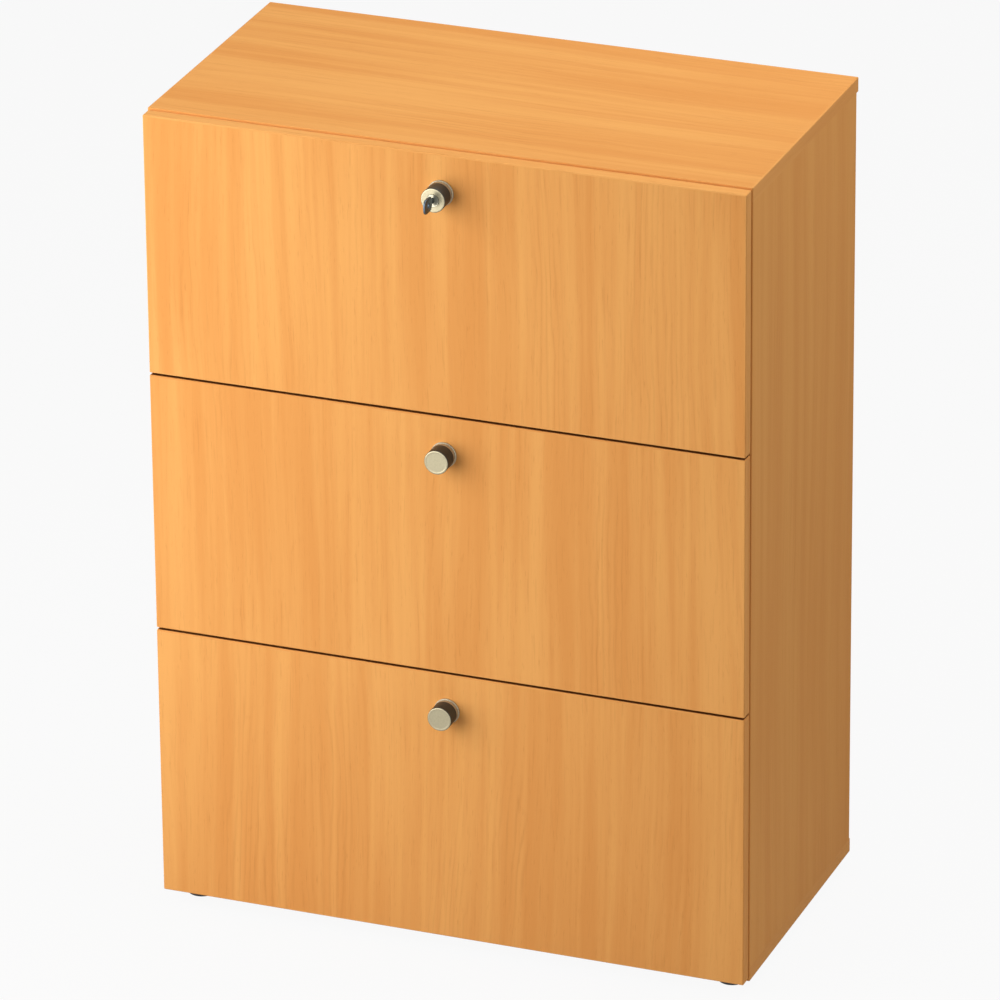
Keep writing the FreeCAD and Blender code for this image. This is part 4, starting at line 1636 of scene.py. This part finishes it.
@dataclass
class FileDrawer:
    """One drawer: its front, its folded steel box, the hanger rail, the knob and the screws."""

    name: str
    band: float = 2.0 * MM
    sheet: float = 1.2 * MM
    lip: float = 12.0 * MM
    shelf: float = 14.0 * MM
    swage: float = 1.5 * MM
    swage_heights: Point = (0.135, 0.195)
    swage_outer: float = 7.0 * MM
    swage_inner: float = 3.0 * MM
    flange_inset: float = 2.0 * MM
    flange_corner: float = 2.0 * MM
    upturn: float = 24.0 * MM
    upturn_foot: float = 8.0 * MM
    upturn_gap: float = 0.2 * MM
    back_fold: float = 12.0 * MM
    hanger_half: float = 31.0 * MM
    tab: float = 26.0 * MM
    tab_corner: float = 4.0 * MM
    rail_rise: float = 72.0 * MM
    rivet_shares: tuple[float, ...] = (0.06, 0.34, 0.66, 0.94)
    rivet_seed: int = 11
    floor_bead: Bead = field(default_factory=lambda: Bead(0.27, 11.0 * MM, 1.3 * MM))
    floor_bead_x: float = 0.195
    floor_bead_shares: tuple[float, ...] = (0.2, 0.35, 0.5, 0.65, 0.8)
    back_bead: Bead = field(default_factory=lambda: Bead(0.30, 12.0 * MM, 1.4 * MM))
    back_bead_x: float = 0.18
    back_bead_shares: Point = (0.36, 0.68)
    wall_screw_shares: Triple = (0.12, 0.5, 0.88)
    floor_screw_share: float = 0.5
    screw_seed: int = 17
    knob_screw: PanScrew = field(default_factory=lambda: PanScrew(2.0 * MM, 34.0 * MM))
    knob_screw_seed: int = 23

    def __post_init__(self) -> None:
        """Takes the places of the box from its side walls."""
        self.body = f"{self.name}_drawer"
        self.low, self.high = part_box(f"{self.name}_drawer_side_walls")
        self.half = self.sheet / 2
        self.z_shelf = self.high.z - self.lip
        self.x_wall_in = self.high.x - self.sheet
        self.x_shelf = self.high.x - self.shelf
        self.steel = PowderCoat(f"powder_coat_{self.name}", self.high.z)

    def build(self) -> None:
        """Dresses the front and makes the steel box, the knob and the screws."""
        self.front()
        self.side_walls()
        self.floor()
        self.back()
        self.hanger()
        self.screws()
        TurnedKnob(self.name).build()

    def front(self) -> None:
        """Dresses the front panel and its edge bands."""
        decor = (Grain.UPRIGHT_FRONT, *FRONT_PRINTS[self.name])
        dress(BeechDecor(f"beech_{self.name}_front", *decor), f"{self.name}_front_panel")
        low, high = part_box(f"{self.name}_front_edge_bands")
        below = -self.band if self.name == DRAWERS[0] else self.band
        above = -self.band if self.name == DRAWERS[-1] else self.band
        # Heights past which the band carries the painted gap shade
        gap = {"gap_low": low.z + below, "gap_high": high.z - above}
        dress(FrontBand(f"beech_{self.name}_band", *decor, **gap), f"{self.name}_front_edge_bands")

    def put(self, word: str, shape: Shape, *nodes: str) -> None:
        """Puts a steel piece on the drawer."""
        place_piece(f"{self.name}_{word}", shape.mesh(word), self.body, self.steel, nodes)

    def side_walls(self) -> None:
        """The two walls with swages, file shelf and lip, their front flanges and the rail rivets."""
        shape = Shape()
        rivets: list[Place] = []
        front, rear = self.low.y, self.high.y - self.sheet
        z_floor, z_shelf = self.low.z + self.half, self.z_shelf - self.half
        for side in SIDES:
            x_wall = side * (self.high.x - self.half)
            x_shelf = side * self.x_shelf
            x_lip = x_shelf + side * self.half
            x_swage = x_wall - side * self.swage
            path = [(x_shelf, z_floor), (x_wall, z_floor)]
            for z in (self.low.z + height for height in self.swage_heights):
                path += [(x_wall, z - self.swage_outer), (x_swage, z - self.swage_inner)]
                path += [(x_swage, z + self.swage_inner), (x_wall, z + self.swage_outer)]
            path += [(x_wall, z_shelf), (x_lip, z_shelf), (x_lip, self.high.z)]
            shape.fold(path, self.sheet, (front, rear), (X, Z, Y))
            left, right = sorted((x_shelf, side * self.x_wall_in))
            low, high = self.low.z + self.flange_inset, self.z_shelf - self.flange_inset
            flange = oblong((left, low), (right, high), self.flange_corner)
            shape.plate([flange], self.sheet, front_plane(front + self.half))
            for share in self.rivet_shares:
                spot = (side * self.x_wall_in, front + share * (rear - front), self.low.z + self.rail_rise)
                rivets.append((spot, (-side, 0, 0)))
        self.put("steel_walls", shape, f"{self.name}_drawer_side_walls")
        mesh = REPEAT.mesh("rivets", Rivet().mesh(), rivets, SCREW_ZINC, math.tau, self.rivet_seed)
        place_piece(f"{self.name}_rail_rivets", mesh, self.body)

    def floor(self) -> None:
        """The floor sheet with pressed beads, turned up at the front."""
        low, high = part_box(f"{self.name}_drawer_floor")
        z = low.z + self.half
        y_front, seam = low.y + self.half, low.y + self.upturn_foot
        clear = self.x_shelf - self.upturn_gap
        shape = Shape().fold([(seam, z), (high.y, z)], self.sheet, (low.x, high.x), (Y, Z, X))
        path = [(y_front, low.z + self.upturn), (y_front, z), (seam, z)]
        shape.fold(path, self.sheet, (-clear, clear), (Y, Z, X))
        self.put("steel_floor", shape, f"{self.name}_drawer_floor")
        rows = [low.y + share * (high.y - low.y) for share in self.floor_bead_shares]
        spots = [((side * self.floor_bead_x, y, low.z + self.sheet), UP) for side in SIDES for y in rows]
        mesh = REPEAT.mesh("floor_beads", self.floor_bead.mesh(), spots, self.steel)
        place_piece(f"{self.name}_floor_beads", mesh, self.body)

    def back(self) -> None:
        """The rear wall with its fold, and four pressed beads."""
        low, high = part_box(f"{self.name}_drawer_back")
        y, z = high.y - self.half, high.z - self.half
        path = [(high.y - self.back_fold, z), (y, z), (y, low.z)]
        shape = Shape().fold(path, self.sheet, (low.x, high.x), (Y, Z, X))
        self.put("steel_back", shape, f"{self.name}_drawer_back")
        heights = [low.z + share * (high.z - low.z) for share in self.back_bead_shares]
        y = high.y - self.sheet
        spots = [((side * self.back_bead_x, y, z), FRONTWARD) for side in SIDES for z in heights]
        mesh = REPEAT.mesh("back_beads", self.back_bead.mesh(), spots, self.steel)
        place_piece(f"{self.name}_back_beads", mesh, self.body)

    def hanger(self) -> None:
        """The middle rail that carries the inner hooks of two rows of files."""
        low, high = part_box(f"{self.name}_hanger_rail")
        edge, z = self.hanger_half - self.half, self.z_shelf - self.half
        path = [(-edge, high.z), (-edge, z), (edge, z), (edge, high.z)]
        shape = Shape().fold(path, self.sheet, (low.y, high.y), (X, Z, Y))
        tab = oblong((low.x, low.z), (high.x, self.z_shelf - self.sheet), self.tab_corner)
        shape.plate([tab], self.sheet, front_plane(low.y + self.half))
        self.put("steel_hanger", shape, f"{self.name}_hanger_rail")

    def screws(self) -> None:
        """The screws that hold the steel box, and the knob where it has no lock, to the front."""
        y = self.low.y + self.sheet
        x_flange = (self.x_shelf + self.x_wall_in) / 2
        x_floor = self.floor_screw_share * self.x_wall_in
        z_floor = self.low.z + self.sheet + (self.sheet + self.upturn) / 2
        heights = [self.low.z + share * (self.z_shelf - self.low.z) for share in self.wall_screw_shares]
        places: list[Place] = []
        for side in SIDES:
            places += [((side * x_flange, y, z), FRONTWARD) for z in heights]
            places.append(((side * x_floor, y, z_floor), FRONTWARD))
        places.append(((0.0, y, self.z_shelf - self.sheet - (self.tab - self.sheet) / 2), FRONTWARD))
        mesh = REPEAT.mesh("box_screws", PanScrew().mesh(), places, SCREW_ZINC, math.tau, self.screw_seed)
        node = f"{self.name}_drawer_screws"
        place_piece(f"{self.name}_box_screws", mesh, self.body, stands_for=[node])
        if self.name == LOCKED:
            return
        low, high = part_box(f"{self.name}_knob")
        level = halfway(low.z, high.z)
        seat = [((0.0, self.low.y, level), FRONTWARD)]
        screw = self.knob_screw.mesh()
        mesh = REPEAT.mesh("knob_screw", screw, seat, SCREW_ZINC, math.tau, self.knob_screw_seed)
        place_piece(f"{self.name}_knob_screw", mesh, self.body)


@dataclass
class TurnedKnob:
    """A turned knob on its base ring, bored through where it carries the lock."""

    drawer: str
    bore: float = 8.2 * MM
    bore_land: float = 1.0 * MM
    bore_bevel: float = 0.3 * MM
    rounding: float = 1.2 * MM
    rounding_turns: tuple[float, ...] = (0.0, 0.3, 0.6, 0.9, 1.2, math.pi / 2)
    groove: float = 0.6 * MM
    groove_bevel_share: float = 0.4
    groove_floor_share: float = 1.3
    groove_rise: float = 0.1 * MM
    waist_share: float = 0.5
    dish: float = 0.15 * MM
    dish_start: float = 13.6 * MM
    dish_land: float = 0.4 * MM
    dish_floor: float = 0.5 * MM

    def build(self) -> None:
        """Makes the knob on its drawer."""
        nodes = [f"{self.drawer}_knob", f"{self.drawer}_knob_base"]
        low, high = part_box(nodes[0])
        base_low, base_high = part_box(nodes[1])
        level = halfway(low.z, high.z)
        radius, ring = high.x, base_high.x
        seam, length = base_high.y - base_low.y, base_high.y - low.y
        g, r, bevel = self.groove, self.rounding, self.groove * self.groove_bevel_share
        locked = self.drawer == LOCKED
        hole = self.bore if locked else POLE
        profile = [(hole, 0.0), (ring, 0.0), (ring, seam - g), (ring - bevel, seam - bevel)]
        profile += [(ring - g, seam), (radius - g * self.groove_floor_share, seam)]
        profile += [(radius - g, seam + self.groove_rise), (radius, seam + g)]
        profile.append((radius, length * self.waist_share))
        arc = [(math.cos(a), math.sin(a)) for a in self.rounding_turns]
        profile += [(radius - r + r * c, length - r + r * s) for c, s in arc]
        profile.append((self.dish_start + self.dish_land, length))
        profile += self.bored(hole, length) if locked else self.dished(hole, length)
        turn = Vector(UP).rotation_difference(Vector(FRONTWARD)).to_matrix().to_4x4()
        place = Matrix.Translation((0.0, base_high.y, level)) @ turn
        mesh = Shape().lathe(profile, place, segments=96, loop=locked).mesh("knob")
        finish = TurnedNickel(f"turned_nickel_{self.drawer}", level)
        body = f"{self.drawer}_drawer"
        place_piece(f"{self.drawer}_turned_knob", mesh, body, finish, nodes)

    def bored(self, hole: float, length: float) -> list[Point]:
        """The end of the profile at the bore for the lock."""
        bevel = self.bore_bevel
        return [(hole + self.bore_land, length), (hole + bevel, length), (hole, length - bevel)]

    def dished(self, hole: float, length: float) -> list[Point]:
        """The end of the profile over a shallow dish."""
        edge, face = self.dish_start - self.dish_land, length - self.dish
        return [(self.dish_start, length), (edge, face), (edge - self.dish_floor, face), (hole, face)]


# Lock


@dataclass
class CamLock:
    """The lock in the upper knob, and its key."""

    bow_length: float = 24.0 * MM
    bow_thickness: float = 2.6 * MM
    bow_rounding: float = 7.0 * MM
    bow_edge: float = 0.35 * MM
    ring_hole: float = 3.0 * MM
    collar: float = 1.6 * MM
    collar_rise: float = 0.5 * MM
    collar_edge_share: float = 0.6
    blade_half: float = 3.5 * MM
    blade_root: float = 1.0 * MM
    blade_thickness: float = 1.6 * MM
    web_share: float = 0.5
    ridges: tuple[Point, Point] = ((0.9 * MM, 3.5 * MM), (-1.2 * MM, -0.1 * MM))
    ridge_ends: Point = (2.2 * MM, 2.8 * MM)
    nose_ends: Point = (2.0 * MM, 1.6 * MM)
    nose_heights: Point = (0.6 * MM, -0.4 * MM)
    cuts: tuple[float, ...] = (1.6 * MM, 0.9 * MM, 2.0 * MM, 1.2 * MM, 1.7 * MM)
    cut_start: float = 3.4 * MM
    cut_pitch: float = 3.2 * MM
    cut_step: float = 0.8 * MM

    def build(self) -> None:
        """Dresses the lock and makes the key."""
        dress(LOCK_NICKEL, "lock_barrel", "lock_plug")
        dress(ZincPlate("zinc_lever", X), "lock_lever")
        low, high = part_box("lock_key")
        edge, tall = self.bow_edge, (high.z - low.z) / 2
        y_bow = low.y + self.bow_length
        root = y_bow - self.blade_root
        place = side_plane(0.0, halfway(low.z, high.z))
        centre = (low.y + self.bow_length / 2, 0.0)
        corners = (low.y + edge, edge - tall), (y_bow - edge, tall - edge)
        outer = oblong(*corners, self.bow_rounding - edge, steps=8)
        hole = circle(self.ring_hole + edge, centre, count=32)
        collar = circle(self.ring_hole + self.collar, centre, count=32)
        shape = Shape().plate([outer, hole], self.bow_thickness, place, edge, rounds=2)
        thickness = self.bow_thickness + self.collar_rise
        shape.plate([collar, hole], thickness, place, edge * self.collar_edge_share)
        shape.plate([self.blade(root, high.y)], self.blade_thickness * self.web_share, place)
        ends = [high.y - end for end in self.ridge_ends]
        for start, end in self.ridges:
            ridge = [(root, start), (ends[0], start), (ends[1], end), (root, end)]
            shape.plate([ridge], self.blade_thickness, place)
        place_piece("cabinet_key", shape.mesh("key"), "lock_key", KEY_STEEL, ["lock_key"])

    def blade(self, root: float, tip: float) -> list[Point]:
        """The outline of the blade with its cuts.

        Args:
            root: Where the blade starts in the bow.
            tip: Where it ends.

        Returns:
            The outline's corners.
        """
        half, step = self.blade_half, self.cut_step
        upper, lower = (tip - end for end in self.nose_ends)
        outline = [(root, half), (upper, half)]
        outline += [(tip, height) for height in self.nose_heights]
        outline.append((lower, -half))
        y = tip - self.cut_start
        for depth in self.cuts:
            floor = depth - half
            outline += [(y, -half), (y - step, floor), (y - 2 * step, floor), (y - 3 * step, -half)]
            y -= self.cut_pitch
        return outline + [(root, -half)]


# Studio


@dataclass
class Lamp:
    """One soft lamp."""

    name: str
    place: Triple
    target: Triple
    size: float
    power: float

    def build(self) -> None:
        """Hangs the lamp and turns it to its target."""
        light = bpy.data.lights.new(self.name, "AREA")
        light.shape = "SQUARE"
        light.size = self.size
        light.energy = self.power
        holder = bpy.data.objects.new(self.name, light)
        holder.location = self.place
        aim = Vector(self.target) - Vector(self.place)
        holder.rotation_euler = aim.to_track_quat("-Z", "Y").to_euler()
        bpy.context.scene.collection.objects.link(holder)


LAMPS = (
    Lamp("near_key", (-1.1, -1.4, 1.15), (0, -0.18, 0.65), 2.1, 45.0),
    Lamp("top_light", (0.6, 0.6, 2.9), (0, 0, 1.0), 2.0, 38.5),
    Lamp("side_light", (3.4, -0.6, 1.8), (0.3, 0, 0.6), 2.4, 29.5),
)


@dataclass
class Studio:
    """The pale floor, the soft light and the camera."""

    floor_size: float = 60.0
    floor_shade: Shade = (0.45, 0.45, 0.45, 1.0)
    floor_glow: float = 0.93
    white_shade: Shade = (1.0, 1.0, 1.0, 1.0)
    sky_fill: float = 0.150
    camera_place: Triple = (3.4441, -8.8783, 4.7869)
    azimuth: float = 21.180
    elevation: float = 23.948
    roll: float = -0.521
    lens: float = 294.41
    sensor: float = 36.0
    sight: float = 200.0

    def build(self) -> None:
        """Makes everything round the object."""
        self.floor()
        self.sky()
        for lamp in LAMPS:
            lamp.build()
        self.camera()
        bpy.context.scene.view_settings.view_transform = "Standard"

    def seen(self, graph: Graph) -> Signal:
        """One for rays from the camera, in gloss or through glass.

        Args:
            graph: The tree that asks.

        Returns:
            The signal, which is zero for all other rays.
        """
        path = graph.add("ShaderNodeLightPath").socket.node
        words = ("Camera", "Glossy", "Transmission")
        camera, glossy, clear = (Signal(graph, path.outputs[f"Is {word} Ray"]) for word in words)
        rays = camera + glossy + clear
        return rays.math("MINIMUM", rays, 1.0)

    def floor(self) -> None:
        """A pale floor that shows white and keeps the shadow."""
        half = self.floor_size / 2
        corners = [(-half, -half, 0), (half, -half, 0), (half, half, 0), (-half, half, 0)]
        mesh = bpy.data.meshes.new("studio_floor")
        mesh.from_pydata(corners, [], [(0, 1, 2, 3)])
        shader = Shader("floor_white")
        matt = shader.add("ShaderNodeBsdfDiffuse", inputs={"Color": self.floor_shade})
        glow = shader.add("ShaderNodeEmission", inputs={"Color": self.white_shade, "Strength": 1.0})
        inputs = {0: self.seen(shader) * self.floor_glow, 1: matt, 2: glow}
        surface = shader.add("ShaderNodeMixShader", inputs=inputs)
        shader.add("ShaderNodeOutputMaterial", inputs={"Surface": surface})
        mesh.materials.append(shader.material)
        floor = bpy.data.objects.new("studio_floor", mesh)
        bpy.context.scene.collection.objects.link(floor)

    def sky(self) -> None:
        """Even fill light, and white where it is seen."""
        world = bpy.data.worlds.new("studio_sky")
        world.use_nodes = True
        bpy.context.scene.world = world
        graph = Graph(world.node_tree)
        fill, white = (
            graph.add("ShaderNodeBackground", inputs={"Color": self.white_shade, "Strength": strength})
            for strength in (self.sky_fill, 1.0)
        )
        surface = graph.add("ShaderNodeMixShader", inputs={0: self.seen(graph), 1: fill, 2: white})
        graph.add("ShaderNodeOutputWorld", inputs={"Surface": surface})

    def camera(self) -> None:
        """The camera at the photograph's viewing angle."""
        a, e, tilt = (math.radians(v) for v in (self.azimuth, self.elevation, self.roll))
        back = Vector((math.sin(a) * math.cos(e), -math.cos(a) * math.cos(e), math.sin(e)))
        level = Vector((math.cos(a), math.sin(a), 0.0))
        rise = back.cross(level)
        right = level * math.cos(tilt) + rise * math.sin(tilt)
        data = bpy.data.cameras.new("camera")
        data.lens = self.lens
        data.sensor_width = self.sensor
        data.clip_end = self.sight
        camera = bpy.data.objects.new("camera", data)
        turn = Matrix((right, back.cross(right), back)).transposed().to_4x4()
        camera.matrix_world = Matrix.Translation(Vector(self.camera_place)) @ turn
        bpy.context.scene.collection.objects.link(camera)
        bpy.context.scene.camera = camera


def main() -> None:
    """Builds the cabinet from the carcass outwards, and the studio round it."""
    logging.basicConfig(level=logging.INFO, format="%(name)s: %(message)s")
    Carcass().build()
    BallSlide.outer_rails()
    for name in FEET:
        Leveller(name).build()
    for name in DRAWERS:
        FileDrawer(name).build()
        BallSlide(name).build()
    CamLock().build()
    Studio().build()


if __name__ == "__main__":
    main()
